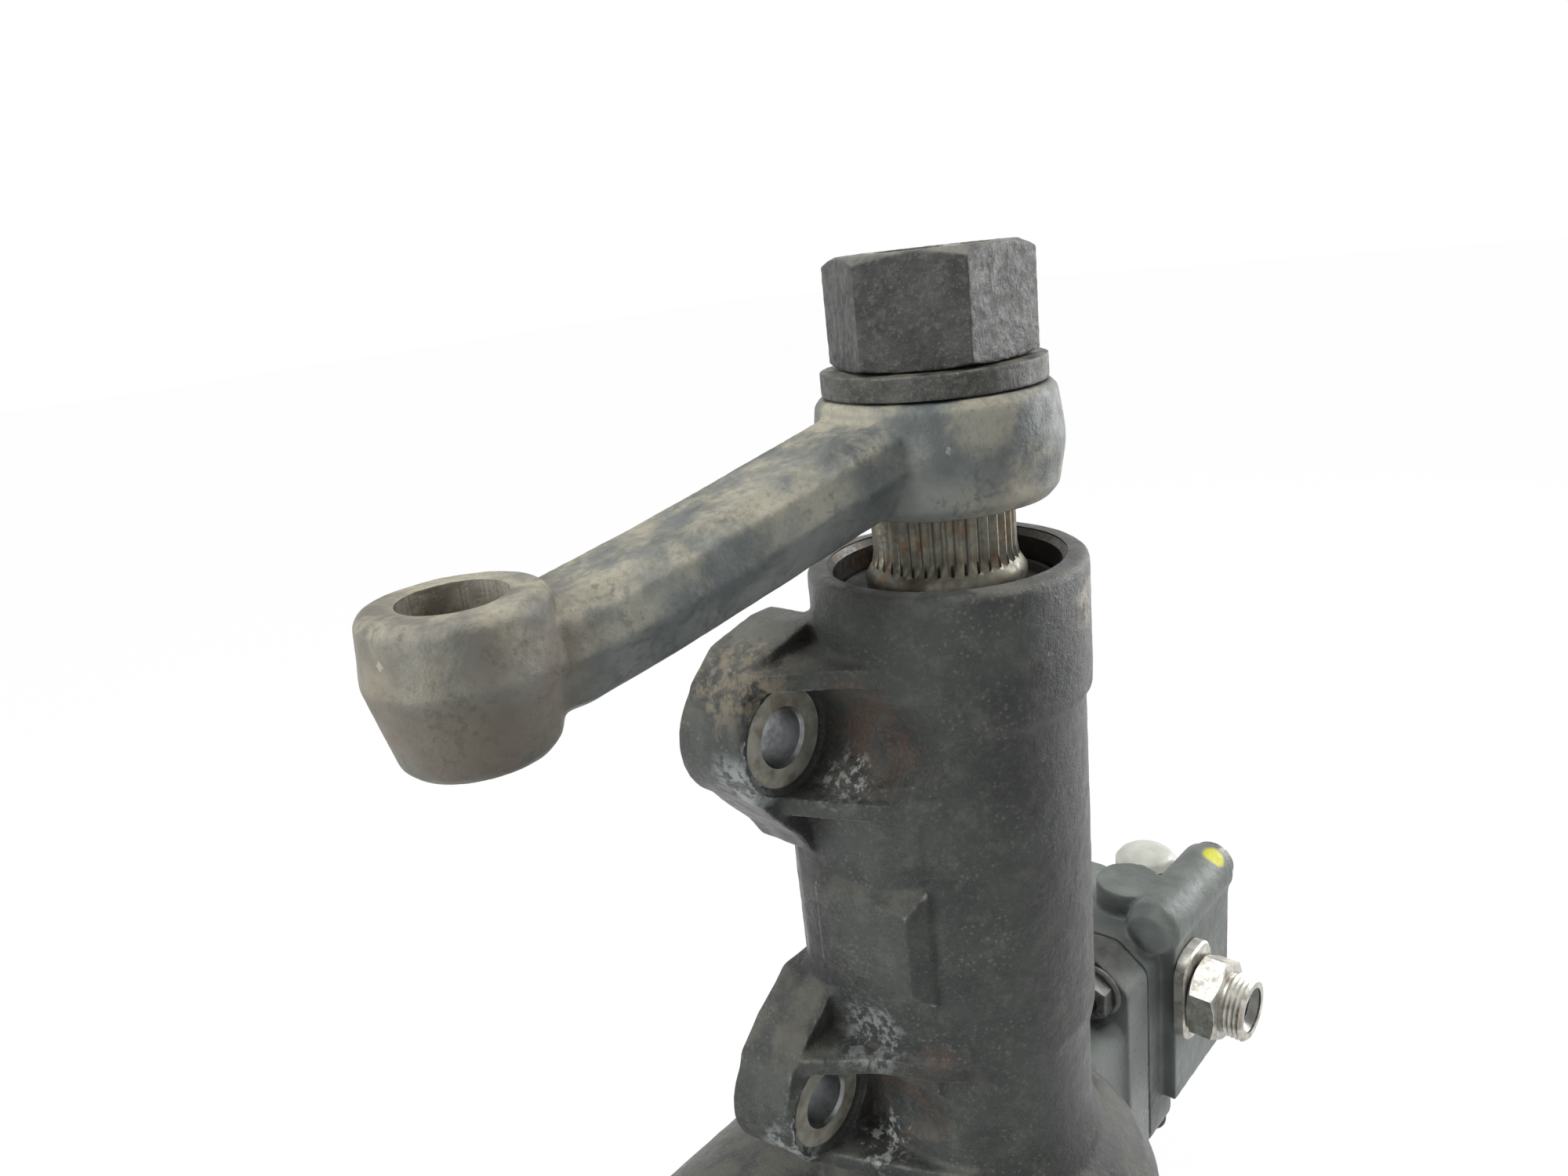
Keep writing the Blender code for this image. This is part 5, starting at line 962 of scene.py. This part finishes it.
def add_web(shape):
    """The web between the bosses, which fades into the neck."""
    outline = [(WEB_FACE_X, 1.5), (-28.4, -8.5), (-3, -8.5), (-3, MOUNT_FACE_Y + 1), (-19, MOUNT_FACE_Y + 1)]
    outline += [(-26.5, MOUNT_FACE_Y - 4), (-30.4, MOUNT_FACE_Y - 9), (WEB_FACE_X, MOUNT_FACE_Y - 13)]
    shape.prism(outline, LOWER_Z + 4, UPPER_Z - 4)


def add_pad(housing):
    """The blank pad on the web, with a flat face and sloping flanks."""
    height = (UPPER_Z + LOWER_Z) / 2
    near, far = PAD_NEAR_Y, PAD_NEAR_Y + PAD_WIDTH
    rings = []
    for depth, out_y, out_z in ((0.0, -0.5, -0.5), (0.4, 0.0, 0.0), (5.0, 2.6, 4.0), (13.0, 2.6, 4.0)):
        half = PAD_HEIGHT / 2 + out_z
        outline = ((near - out_y, -half), (far, -half), (far, half), (near - out_y, half))
        rings.append([(PAD_FACE_X + depth, y, height + z) for y, z in outline])
    unite(housing, Shape().loft(rings), CAST_PAINT)


def add_third_lug(shape):
    """The third lug and the plate that ties it to the neck and the rack cylinder."""
    shape.cone(THIRD_R - 1.5, THIRD_R, THIRD_SEAT_Y, MOUNT_FACE_Y + 1, (THIRD_X, 0, THIRD_Z), "Y")
    top, foot = THIRD_Z + 13, WORM_Z + 28
    plate = [(0, top), (THIRD_X - 8, top), (THIRD_X + 13, THIRD_Z - 6), (THIRD_X + 10, foot), (0, foot)]
    shape.prism(across_y(plate), MOUNT_FACE_Y - 14, MOUNT_FACE_Y + 1, (0, 0, 0), "Y")


def machine_housing(housing):
    """Cut the mounting plane, bores, bolt seats and holes with crisp edges."""
    face_low = (BARREL_LEFT - 4, MOUNT_FACE_Y, WORM_Z + BARREL_R + 0.5)
    face_high = (BARREL_RIGHT, MOUNT_FACE_Y + 30, MOUTH_Z + 3)
    cut(housing, Shape().block(face_low, face_high), BORE_STEEL)
    bore_neck(housing)
    bore_cylinder(housing)
    drill_mounts(housing)
    drill_threads(housing)


def bore_neck(housing):
    """The stepped bore down the neck for seals and bearings, open into the sector chamber."""
    mouth_r = MOUTH_BORE_R + 1.2
    bore = [(0, MOUTH_Z + 3), (mouth_r, MOUTH_Z + 3), (mouth_r, MOUTH_Z - 0.4), (MOUTH_BORE_R, MOUTH_Z - 1.8)]
    bore += [(MOUTH_BORE_R, SEAL_FLOOR_Z), (BEARING_BORE_R, SEAL_FLOOR_Z), (BEARING_BORE_R, UPPER_BORE_END_Z)]
    bore += [(RELIEF_BORE_R, UPPER_BORE_END_Z), (RELIEF_BORE_R, LOWER_BORE_END_Z)]
    bore += [(BEARING_BORE_R, LOWER_BORE_END_Z), (BEARING_BORE_R, CHAMBER_TOP_Z), (CHAMBER_R, CHAMBER_TOP_Z)]
    bore += [(CHAMBER_R, COVER_FACE_Z - 3), (0, COVER_FACE_Z - 3)]
    cut(housing, Shape().turned(bore), GREASY_SHADED_BORE)


def bore_cylinder(housing):
    """The rack's bore with the groove for the end clip."""
    cylinder = [(0, BARREL_RIGHT + 3), (BORE_R + 2.8, BARREL_RIGHT + 3), (BORE_R + 2.8, BARREL_RIGHT - 3)]
    groove_left, groove_right = CLIP_LEFT - GAP, PLUG_LEFT
    cylinder += [(BORE_R, BARREL_RIGHT - 3), (BORE_R, groove_right), (BORE_R + 1.4, groove_right)]
    cylinder += [(BORE_R + 1.4, groove_left), (BORE_R, groove_left)]
    cylinder += [(BORE_R, BARREL_LEFT - 3), (0, BARREL_LEFT - 3)]
    cut(housing, Shape().turned(cylinder, WORM_AXIS, "X"), BORE_STEEL)


def drill_mounts(housing):
    """Bolt seats and holes of the two bosses and the third lug."""
    for level in (UPPER_Z, LOWER_Z):
        seat = (MOUNT_X, 0, level)
        spot = Shape().rod(SEAT_R - 1.6, SEAT_Y - 6, SEAT_Y + 0.2, seat, "Y", 96)
        cut(housing, spot, SEAT_STEEL)
        hole = [(0, MOUNT_FACE_Y + 2), (HOLE_R, MOUNT_FACE_Y + 2), (HOLE_R, SEAT_Y + 1.0)]
        hole += [(HOLE_R + 0.8, SEAT_Y), (HOLE_R + 0.8, SEAT_Y - 3), (0, SEAT_Y - 3)]
        cut(housing, Shape().turned(hole, seat, "Y"), HOLE_STEEL)
    third = (THIRD_X, 0, THIRD_Z)
    cut(housing, Shape().rod(HOLE_R, THIRD_SEAT_Y - 2, MOUNT_FACE_Y + 2, third, "Y"), BORE_STEEL)


def drill_threads(housing):
    """Holes for the cover bolts and the valve housing bolts; the first of those goes right through."""
    threads = Shape()
    for x, y in cover_bolts():
        threads.rod(BOLT_R + GAP, COVER_FACE_Z - 1, COVER_FACE_Z + COVER_THREAD, (x, y, 0), steps=24)
    for index, (y, z) in enumerate(flange_bolts()):
        depth = HOUSING_FLANGE + 1 if index == 0 else HOUSING_FLANGE - 1
        threads.rod(BOLT_R + GAP, BARREL_RIGHT - depth, BARREL_RIGHT + 1, (0, y, z), "X", 24)
    cut(housing, threads, BORE_STEEL)


def block_outline():
    """Section of the port block as (y, z), with the lower ledge that carries the return port."""
    step_y = ROLL_Y + ROLL_R - 0.4
    far_y = WORM_Y - 18.0
    near = [(BLOCK_NEAR_Y, BLOCK_LOW_Z), (BLOCK_NEAR_Y, BLOCK_HIGH_Z)]
    step = [(step_y, BLOCK_HIGH_Z), (step_y, LEDGE_Z)]
    return near + step + [(far_y, LEDGE_Z), (far_y + 8, LEDGE_Z - 18), (far_y + 8, BLOCK_LOW_Z)]


def make_valve_housing():
    """The valve housing with its port block, relief roll, return boss, flange and bores."""
    body = [(0, VALVE_BODY_RIGHT), (VALVE_BODY_R - 2, VALVE_BODY_RIGHT), (VALVE_BODY_R, VALVE_BODY_RIGHT - 2)]
    body += [(VALVE_BODY_R + 1, VALVE_LEFT + 2), (BORE_R - 2, VALVE_LEFT + 1.5), (0, VALVE_LEFT + 1.5)]
    shape = Shape().turned(body, WORM_AXIS, "X")
    shape.prism(across_x(flange_outline()), VALVE_LEFT, FLANGE_RIGHT, WORM_AXIS, "X")
    shape.prism(across_x(block_outline()), VALVE_LEFT + 8, BLOCK_RIGHT, WORM_AXIS, "X")
    roll = (0, ROLL_Y, ROLL_Z)
    start = VALVE_LEFT + 1
    barrel = [(0, ROLL_END), (ROLL_R, ROLL_END), (ROLL_R, start + 9), (ROLL_R - 2.5, start + 4), (0, start)]
    shape.turned(barrel, roll, "X")
    shape.cone(12.0, 10.5, LEDGE_Z - 6, BLOCK_HIGH_Z + 4, (FLANGE_RIGHT + 5.7, ROLL_Y + 14.0, 0))
    boss = (RETURN_X, RETURN_Y, 0)
    shape.cone(RETURN_CAP_R + 1.3, RETURN_CAP_R + 0.5, LEDGE_Z - 28, RETURN_SEAT_Z, boss)
    valve = shape.made("valve_casting", VALVE_PAINT)
    skin(valve, CAST_VOXEL, 8, 0.25, 3.5)
    machine_valve_housing(valve, roll, boss)
    stands_for(valve, "valve_housing", "housing")


def machine_valve_housing(valve, roll, boss):
    """Join the turned spigot, then cut the bores, ports, bolt seats and holes."""
    spigot_r = BORE_R - GAP
    spigot = [(CUP_BORE_R, VALVE_LEFT + 4), (spigot_r, VALVE_LEFT + 4), (spigot_r, SPIGOT_LEFT + 1)]
    spigot += [(spigot_r - 1, SPIGOT_LEFT), (CUP_BORE_R, SPIGOT_LEFT)]
    unite(valve, Shape().turned(spigot, WORM_AXIS, "X", ring=True), BORE_STEEL)
    ring_r, ring_left, cup_left = ADJUSTER_R + GAP, ADJUSTER_LEFT - GAP, CUP_LEFT - 0.1
    bore = [(0, VALVE_BODY_RIGHT + 2), (ring_r, VALVE_BODY_RIGHT + 2), (ring_r, ring_left)]
    bore += [(SLEEVE_BORE_R, ring_left), (SLEEVE_BORE_R, cup_left), (CUP_BORE_R, cup_left)]
    bore += [(CUP_BORE_R, SPIGOT_LEFT - 2), (0, SPIGOT_LEFT - 2)]
    cut(valve, Shape().turned(bore, WORM_AXIS, "X"), BORE_STEEL)
    drill = Shape().rod(8.0, BLOCK_NEAR_Y - 2, WORM_Y - SLEEVE_BORE_R + 3, (PORT_X, 0, PORT_Z), "Y")
    drill.rod(7.0, RETURN_SEAT_Z - 15, RETURN_SEAT_Z + 2, boss)
    drill.rod(5.0, BLOCK_RIGHT - 12, BLOCK_RIGHT + 4, roll, "X")
    cut(valve, drill, BORE_STEEL)
    holes = Shape()
    for index, (y, z) in enumerate(flange_bolts()):
        if index == 0:
            holes.rod(BOLT_R + GAP, VALVE_LEFT - 1, VALVE_LEFT + 7, (0, y, z), "X", 24)
            continue
        spot = Shape().rod(BOLT_SPOT_R, FLANGE_RIGHT, BLOCK_RIGHT + 9, (0, y, z), "X", 48)
        cut(valve, spot, VALVE_PAINT)
        holes.rod(BOLT_R + GAP, VALVE_LEFT - 1, FLANGE_RIGHT + 1, (0, y, z), "X", 24)
    cut(valve, holes, BORE_STEEL)


def make_side_cover():
    """The cover's cast disc with its raised centre and hub, drilled for bolts and adjuster."""
    top = COVER_FACE_Z - GAP
    disc = [(0, top), (COVER_R, top), (COVER_R, COVER_OUT_Z + 2), (COVER_R - 2, COVER_OUT_Z)]
    disc += [(20, COVER_OUT_Z), (18, COVER_OUT_Z - 3), (0, COVER_OUT_Z - 3)]
    cover = Shape().turned(disc).made("cover_casting", CAST_PAINT)
    skin(cover, COVER_VOXEL, 5, 0.15, 3.0)
    spigot_r = CHAMBER_R - GAP
    hub = [(BUSH_R, COVER_HUB_TOP), (COVER_HUB_R, COVER_HUB_TOP), (COVER_HUB_R, COVER_FACE_Z + 3)]
    hub += [(spigot_r, COVER_FACE_Z + 3), (spigot_r, top - 1), (BUSH_R, top - 1)]
    unite(cover, Shape().turned(hub, ring=True), BORE_STEEL)
    floor = COVER_FACE_Z - 5
    bore = [(0, COVER_HUB_TOP + 4), (BUSH_R, COVER_HUB_TOP + 4), (BUSH_R, floor), (5.3, floor)]
    bore += [(5.3, COVER_OUT_Z - 8), (0, COVER_OUT_Z - 8)]
    cut(cover, Shape().turned(bore), BORE_STEEL)
    holes = Shape()
    for x, y in cover_bolts():
        holes.rod(BOLT_R + GAP, COVER_OUT_Z - 1, top + 1, (x, y, 0), steps=24)
    cut(cover, holes, BORE_STEEL)
    stands_for(cover, "side_cover", "housing")


def make_bolt(name, node, at, axis, shank):
    """A flanged hexagon bolt with a chamfered head and a shallow dish on top."""
    across, head = BOLT_ACROSS, BOLT_HEAD
    corner_r = across / sqrt(3)
    limit = [(0, head), (across / 2 - 0.5, head), (corner_r + 0.1, head - 1.1), (corner_r + 0.1, 0), (0, 0)]
    body = chamfered(name, across, 0.8, head, limit, BOLT_STEEL, at, axis, steps=48)
    flange = [(0, 1.7), (across * 0.6, 1.5), (across * 0.67, 0.7), (across * 0.68, 0.25), (across * 0.66, 0)]
    flange += [(BOLT_R, 0), (BOLT_R, -shank + 0.8), (BOLT_R - 0.8, -shank), (0, -shank)]
    unite(body, Shape().turned(flange, at, axis, 48), BOLT_STEEL)
    dish = [(0, head + 1), (4.2, head + 1), (4.2, head - 0.1), (3.4, head - 0.9), (0, head - 0.9)]
    cut(body, Shape().turned(dish, at, axis, 48), BOLT_STEEL)
    stands_for(body, node, "housing")


def make_bolts():
    """Cover bolts and valve housing bolts."""
    for index, (x, y) in enumerate(cover_bolts()):
        name, node = f"cover_screw_{index + 1}", f"cover_bolt_{index + 1}"
        make_bolt(name, node, (x, y, COVER_OUT_Z - GAP), "-Z", COVER_BOLT_LENGTH)
    for index, (y, z) in enumerate(flange_bolts()):
        name, node = f"valve_screw_{index + 1}", f"valve_bolt_{index + 1}"
        if index == 0:
            make_bolt(name, node, (BARREL_RIGHT - HOUSING_FLANGE - GAP, y, z), "-X", HOUSING_FLANGE + 6.5)
        else:
            make_bolt(name, node, (FLANGE_RIGHT + GAP, y, z), "X", FLANGE + 12.0)


def make_ring(name, node, profile, finish, at=(0, 0, 0), axis="Z"):
    """A turned ring that takes a node's place in the housing."""
    piece = Shape().turned(profile, at, axis, ring=True).made(name, finish)
    stands_for(piece, node, "housing")


def make_mouth_parts():
    """Dust seal, retaining ring and oil seal that show in the mouth of the neck."""
    out = MOUTH_BORE_R - GAP
    inside = SHAFT_R + GAP
    floor = SEAL_FLOOR_Z + GAP
    oil = [(out, floor + 8.6), (out - 0.4, floor + 9), (out - 3, floor + 9), (out - 3.2, floor + 7.2)]
    oil += [(inside + 2, floor + 6), (inside + 0.1, floor + 5), (inside, floor + 4)]
    oil += [(inside + 0.4, floor + 3), (inside + 1.6, floor), (out, floor)]
    make_ring("oil_seal_ring", "output_oil_seal", oil, RUBBER)
    low = floor + 9 + GAP
    clip = [(out, low), (out, low + 1.6), (out - 3.4, low + 1.6), (out - 3.4, low)]
    make_ring("neck_clip", "output_retaining_ring", clip, BOLT_STEEL)
    low += 1.6 + GAP
    dust = [(out, low), (out, low + 4.2), (out - 0.4, low + 4.6), (out - 1.6, low + 4.6)]
    dust += [(out - 2.2, low + 2.8), (inside + 1.6, low + 3.4), (inside + 0.1, low + 2.9)]
    dust += [(inside, low + 2.2), (inside + 0.6, low)]
    make_ring("dust_seal_ring", "output_dust_seal", dust, RUBBER)


def make_end_plug():
    """End plug and split retaining ring of the rack cylinder."""
    radius = BORE_R - GAP
    left = PLUG_LEFT
    groove, groove_end = left + 3.6, left + 6.8
    plug = [(0, left + 10), (radius - 1, left + 10), (radius, left + 9), (radius, groove_end)]
    plug += [(radius - 2.6, groove_end), (radius - 2.6, groove), (radius, groove), (radius, left + 0.6)]
    plug += [(radius - 0.6, left), (radius - 7.5, left), (radius - 8.2, left + 0.5)]
    plug += [(radius - 10, left + 3), (0, left + 3)]
    disc = Shape().turned(plug, WORM_AXIS, "X").made("end_plug_disc", BOLT_STEEL)
    stands_for(disc, "cylinder_end_plug", "housing")
    outer, inner, clip_right = BORE_R + 1.1, BORE_R - 3.5, CLIP_LEFT + 2
    clip = [(outer, clip_right), (outer, CLIP_LEFT), (inner, CLIP_LEFT), (inner, clip_right)]
    ring = Shape().turned(clip, WORM_AXIS, "X", ring=True).made("end_clip", PLATED_STEEL)
    gap = Shape().block((CLIP_LEFT - 2, WORM_Y - 3, WORM_Z + 20), (CLIP_LEFT + 4, WORM_Y + 3, WORM_Z + 40))
    cut(ring, gap, PLATED_STEEL)
    stands_for(ring, "end_plug_retaining_ring", "housing")


def make_input_end():
    """The bearing adjuster with its four spanner holes, and the rubber boot round the input shaft."""
    inside = INPUT_PASSAGE_R
    right = VALVE_BODY_RIGHT - 3
    web = ADJUSTER_LEFT + 4
    adjuster = [(ADJUSTER_R, right - 0.6), (ADJUSTER_R - 0.6, right), (17.9, right), (17.3, right - 0.6)]
    adjuster += [(17.3, web), (inside, web), (inside, ADJUSTER_LEFT), (ADJUSTER_R, ADJUSTER_LEFT)]
    nut = Shape().turned(adjuster, WORM_AXIS, "X", ring=True).made("bearing_nut", GROUND_STEEL)
    pins = Shape()
    for index in range(4):
        angle = pi / 4 + index * pi / 2
        at = (0, WORM_Y + SPANNER_CIRCLE_R * cos(angle), WORM_Z + SPANNER_CIRCLE_R * sin(angle))
        pins.rod(1.6, right - 3, right + 1, at, "X", 24)
    cut(nut, pins, GREASY_SHADED_BORE)
    stands_for(nut, "bearing_adjuster", "housing")
    left = right + GAP
    boot = [(19.0, left + 1.4), (20.3, left + 0.5), (20.5, left), (inside, left), (inside, left + 6.4)]
    boot += [(inside + 0.6, left + 7), (12.9, left + 7), (13.5, left + 6.4)]
    boot += [(14.0, left + 3.4), (15.0, left + 2.4)]
    make_ring("input_boot", "input_dust_cover", boot, RUBBER, WORM_AXIS, "X")


def make_input_shaft():
    """Input shaft with serrations, the clamp groove, the spool lands and its bore."""
    root_r, tip_r = 8.8, 9.6
    start = INPUT_END_X - 26.0
    land_left = corners("input_shaft")[0].x
    land_right = ADJUSTER_LEFT - 4
    profile = [(0, INPUT_END_X), (7.0, INPUT_END_X), (7.8, INPUT_END_X - 0.8), (8.3, INPUT_END_X - 1.4)]
    profile += [(8.3, start), (11.0, start - 1.8), (11.0, land_right + 1), (15.1, land_right)]
    profile += [(15.1, land_left), (0, land_left)]
    shaft = Shape().turned(profile, WORM_AXIS, "X").made("serrated_shaft", GROUND_STEEL)
    outline = spline_outline(36, tip_r, tip_r - root_r)
    for low, high in ((start - 0.8, INPUT_END_X - 17), (INPUT_END_X - 12, INPUT_END_X - 1.5)):
        small = [[(x * 0.94, y * 0.94, level) for x, y in outline] for level in (low, high)]
        full = [[(x, y, level) for x, y in outline] for level in (low + 0.8, high - 0.8)]
        unite(shaft, Shape().loft([small[0], *full, small[1]], WORM_AXIS, "X"), SPLINE_STEEL)
    cut(shaft, Shape().rod(4.3, land_left - 3, INPUT_END_X - 6, WORM_AXIS, "X"), BORE_STEEL)
    stands_for(shaft, "input_shaft", "input")


def make_ports():
    """Pressure union with its plate, and the pale cap on the return port."""
    at = (PORT_X, 0, PORT_Z)
    face = GAP - BLOCK_NEAR_Y
    plate_top = face + 3.6
    outline = rounded([(-10.5, -16), (10.5, -16), (10.5, 16), (-10.5, 16)], 8.0, 12)
    inset = [(x * 0.95, y * 0.96) for x, y in outline]
    levels = ((outline, face), (outline, plate_top - 0.6), (inset, plate_top))
    rings = [[(x, y, level) for x, y in points] for points, level in levels]
    plate = Shape().loft(rings, at, "-Y").made("port_plate", PLATED_STEEL)
    cut(plate, Shape().rod(7.8, face - 1, plate_top + 1, at, "-Y"), BORE_STEEL)
    stands_for(plate, "pressure_port_plate", "housing")
    make_union(at, plate_top + GAP)
    low = RETURN_SEAT_Z + GAP
    skirt = RETURN_CAP_R
    cap = [(0, low + 7.0), (5.0, low + 6.8), (7.6, low + 6.3), (9.2, low + 5.2), (10.0, low + 3.8)]
    cap += [(skirt, low + 3.4), (skirt, low + 0.4), (skirt - 0.4, low)]
    cap += [(6.7, low), (6.7, low - 9), (0, low - 9)]
    lid = Shape().turned(cap, (RETURN_X, RETURN_Y, 0)).made("pale_cap", PALE_PLASTIC)
    stands_for(lid, "return_port_cap", "housing")


def make_union(at, base):
    """The silver fitting: round foot, chamfered hexagon, threaded nose and a flared throat."""
    stem = [(0, base + 17), (9.2, base + 17), (10.1, base + 16.1)]
    for turn in range(3):
        level = base + 15.4 - turn * THREAD_PITCH
        stem += [(9.4, level), (10.1, level - THREAD_PITCH / 2)]
    stem += [(9.3, base + 10.6), (9.3, base + 9.6), (10.2, base + 9.0), (10.2, base), (7.5, base)]
    stem += [(7.5, base - 11), (0, base - 11)]
    union = Shape().turned(stem, at, "-Y").made("union_fitting", PLATED_STEEL)
    across, low, high = UNION_ACROSS, base + 0.6, base + 9.6
    corner_r, flat_r = across / sqrt(3), across / 2 - 0.3
    limit = [(0, high), (flat_r, high), (corner_r, high - 1.2)]
    limit += [(corner_r, low + 1.2), (flat_r, low), (0, low)]
    head = chamfered("union_head", across, low, high, limit, PLATED_STEEL, at, "-Y", 30)
    combine(union, head, "UNION")
    throat = [(0, base + 19), (7.2, base + 19), (7.2, base + 16.4)]
    throat += [(5.2, base + 14.0), (5.2, base - 13), (0, base - 13)]
    cut(union, Shape().turned(throat, at, "-Y"), BORE_STEEL)
    stands_for(union, "pressure_union", "housing")


def make_relief_plug():
    """Relief valve plug with its hexagon socket."""
    roll = (0, ROLL_Y, ROLL_Z)
    seat, foot = ROLL_END + GAP, BLOCK_RIGHT - 11
    head = seat + 5.2
    plug = [(0, head), (5.6, head), (6.6, head - 0.4), (7.2, head - 1.2)]
    plug += [(7.2, seat), (4.7, seat), (4.7, foot), (0, foot)]
    piece = Shape().turned(plug, roll, "X").made("relief_plug", BOLT_STEEL)
    cut(piece, Shape().prism(hexagon(7.0), seat + 1.6, head + 2, roll, "X"), BOLT_STEEL)
    stands_for(piece, "relief_valve_plug", "housing")


def make_adjuster():
    """Adjuster screw of the sector shaft and its lock nut."""
    head_z = COVER_FACE_Z + 6.5
    foot = COVER_OUT_Z - 15.0
    screw = [(0, head_z), (8.6, head_z), (9.0, head_z - 0.4), (9.0, head_z - 5), (4.5, head_z - 5)]
    level = head_z - 5.4
    while level > foot + 2:
        screw += [(5.0, level), (4.4, level - ADJUSTER_PITCH / 2)]
        level -= ADJUSTER_PITCH
    screw += [(5.0, foot + 1), (4.0, foot), (0, foot)]
    rod = Shape().turned(screw, steps=48).made("adjuster_stud", PLATED_STEEL)
    cut(rod, Shape().prism(hexagon(5.0), foot - 1, foot + 4), GREASY_SHADED_BORE)
    stands_for(rod, "adjuster_screw", "housing")
    top = COVER_OUT_Z - 3 - GAP
    low = top - 8
    corner_r = JAM_NUT_ACROSS / sqrt(3)
    limit = [(0, top), (9.2, top), (corner_r, top - 1.0), (corner_r, top - 7.0), (9.2, low), (0, low)]
    nut = chamfered("jam_nut", JAM_NUT_ACROSS, low, top, limit, PLATED_STEEL)
    cut(nut, Shape().rod(5.3, top - 9, top + 1, steps=48), PLATED_STEEL)
    stands_for(nut, "adjuster_lock_nut", "housing")


def finish_hidden_nodes():
    """Give the nodes that stay, most of them inside the gearbox, a finish with grain."""
    by_slot = {
        "machined_steel": GROUND_STEEL,
        "shaft_steel": GROUND_STEEL,
        "bolt_steel": BOLT_STEEL,
        "plated_steel": PLATED_STEEL,
        "bronze_bush": BRONZE,
        "black_rubber": RUBBER,
        "pale_plastic": PALE_PLASTIC,
        "painted_casting": CAST_PAINT,
        "forged_arm": FORGED_SKIN,
        "nut_steel": NUT_STEEL,
    }
    for part in frame["record"]["subparts"]:
        node = frame["nodes"][part["node"]]
        node.data.materials.clear()
        node.data.materials.append(by_slot[part["material_slot"]])


def make_floor():
    """A wide pale floor that fades into the white background and keeps the object's soft shadow."""
    lowest = CAD_BOX[0][2]
    reach = FLOOR_REACH
    mesh = bpy.data.meshes.new("floor")
    signs = ((-1, -1), (1, -1), (1, 1), (-1, 1))
    edge = [(x * reach, y * reach, lowest) for x, y in signs]
    mesh.from_pydata(edge, [], [(0, 1, 2, 3)])
    floor = placed("floor", mesh)
    material = bpy.data.materials.new("floor_white")
    material.use_nodes = True
    tree = material.node_tree
    tree.nodes.clear()
    diffuse = add_node(tree, "ShaderNodeBsdfDiffuse", Color=FLOOR_COLOUR)
    glow = add_node(tree, "ShaderNodeEmission")
    share = add_node(tree, "ShaderNodeMath", {"operation": "MULTIPLY"}, (seen_directly(tree), FLOOR_GLOW))
    parts = [node.outputs[0] for node in (share, diffuse, glow)]
    blend = add_node(tree, "ShaderNodeMixShader", values=parts)
    add_node(tree, "ShaderNodeOutputMaterial", Surface=blend.outputs[0])
    mesh.materials.append(material)


def seen_directly(tree):
    """1 for camera, glossy and transmission rays and 0 for the light that falls on the object."""
    path = add_node(tree, "ShaderNodeLightPath").outputs
    seen = path["Is Camera Ray"]
    for kind in ("Is Glossy Ray", "Is Transmission Ray"):
        seen = add_node(tree, "ShaderNodeMath", {"operation": "MAXIMUM"}, (seen, path[kind])).outputs[0]
    return seen


def make_world():
    """White background for the eye and reflections, dimmer light on the object."""
    world = bpy.data.worlds.new("studio")
    bpy.context.scene.world = world
    world.use_nodes = True
    tree = world.node_tree
    shader = tree.nodes["Background"]
    level = add_node(tree, "ShaderNodeMapRange", values=(seen_directly(tree), 0.0, 1.0, WORLD_LIGHT, 1.0))
    plug(tree, shader.inputs["Strength"], level.outputs["Result"])
    plug(tree, shader.inputs["Color"], (1.0, 1.0, 1.0, 1.0))


def make_lamp(name, at, size, power):
    """A soft lamp aimed at the object's middle."""
    data = bpy.data.lights.new(name, "AREA")
    data.shape = "RECTANGLE"
    data.size, data.size_y = size
    data.energy = power
    lamp = placed(name, data)
    lamp.location = Vector(at)
    lamp.rotation_euler = (Vector(LAMP_AIM) - Vector(at)).to_track_quat("-Z", "Y").to_euler()


def make_lamps():
    """A broad lamp overhead, one from the left and one from behind on the right."""
    for name, (at, size, power) in LAMPS.items():
        make_lamp(name, at, size, power)


def make_camera():
    """The photograph's camera: place, turn and lens worked out from straight and round edges."""
    data = bpy.data.cameras.new("camera")
    data.sensor_width = CAMERA_SENSOR
    data.lens = CAMERA_LENS
    data.clip_start = CAMERA_NEAR
    camera = placed("camera", data)
    camera.location = Vector(CAMERA_AT) * MM
    camera.rotation_euler = Euler([radians(angle) for angle in CAMERA_TURN], "XYZ")
    bpy.context.scene.camera = camera


finish_hidden_nodes()
make_nut()
make_washer()
make_arm()
make_sector_shaft()
make_gear_housing()
make_valve_housing()
make_side_cover()
make_bolts()
make_mouth_parts()
make_end_plug()
make_input_end()
make_input_shaft()
make_ports()
make_relief_plug()
make_adjuster()
make_floor()
make_world()
make_lamps()
make_camera()
bpy.context.scene.view_settings.view_transform = "Standard"
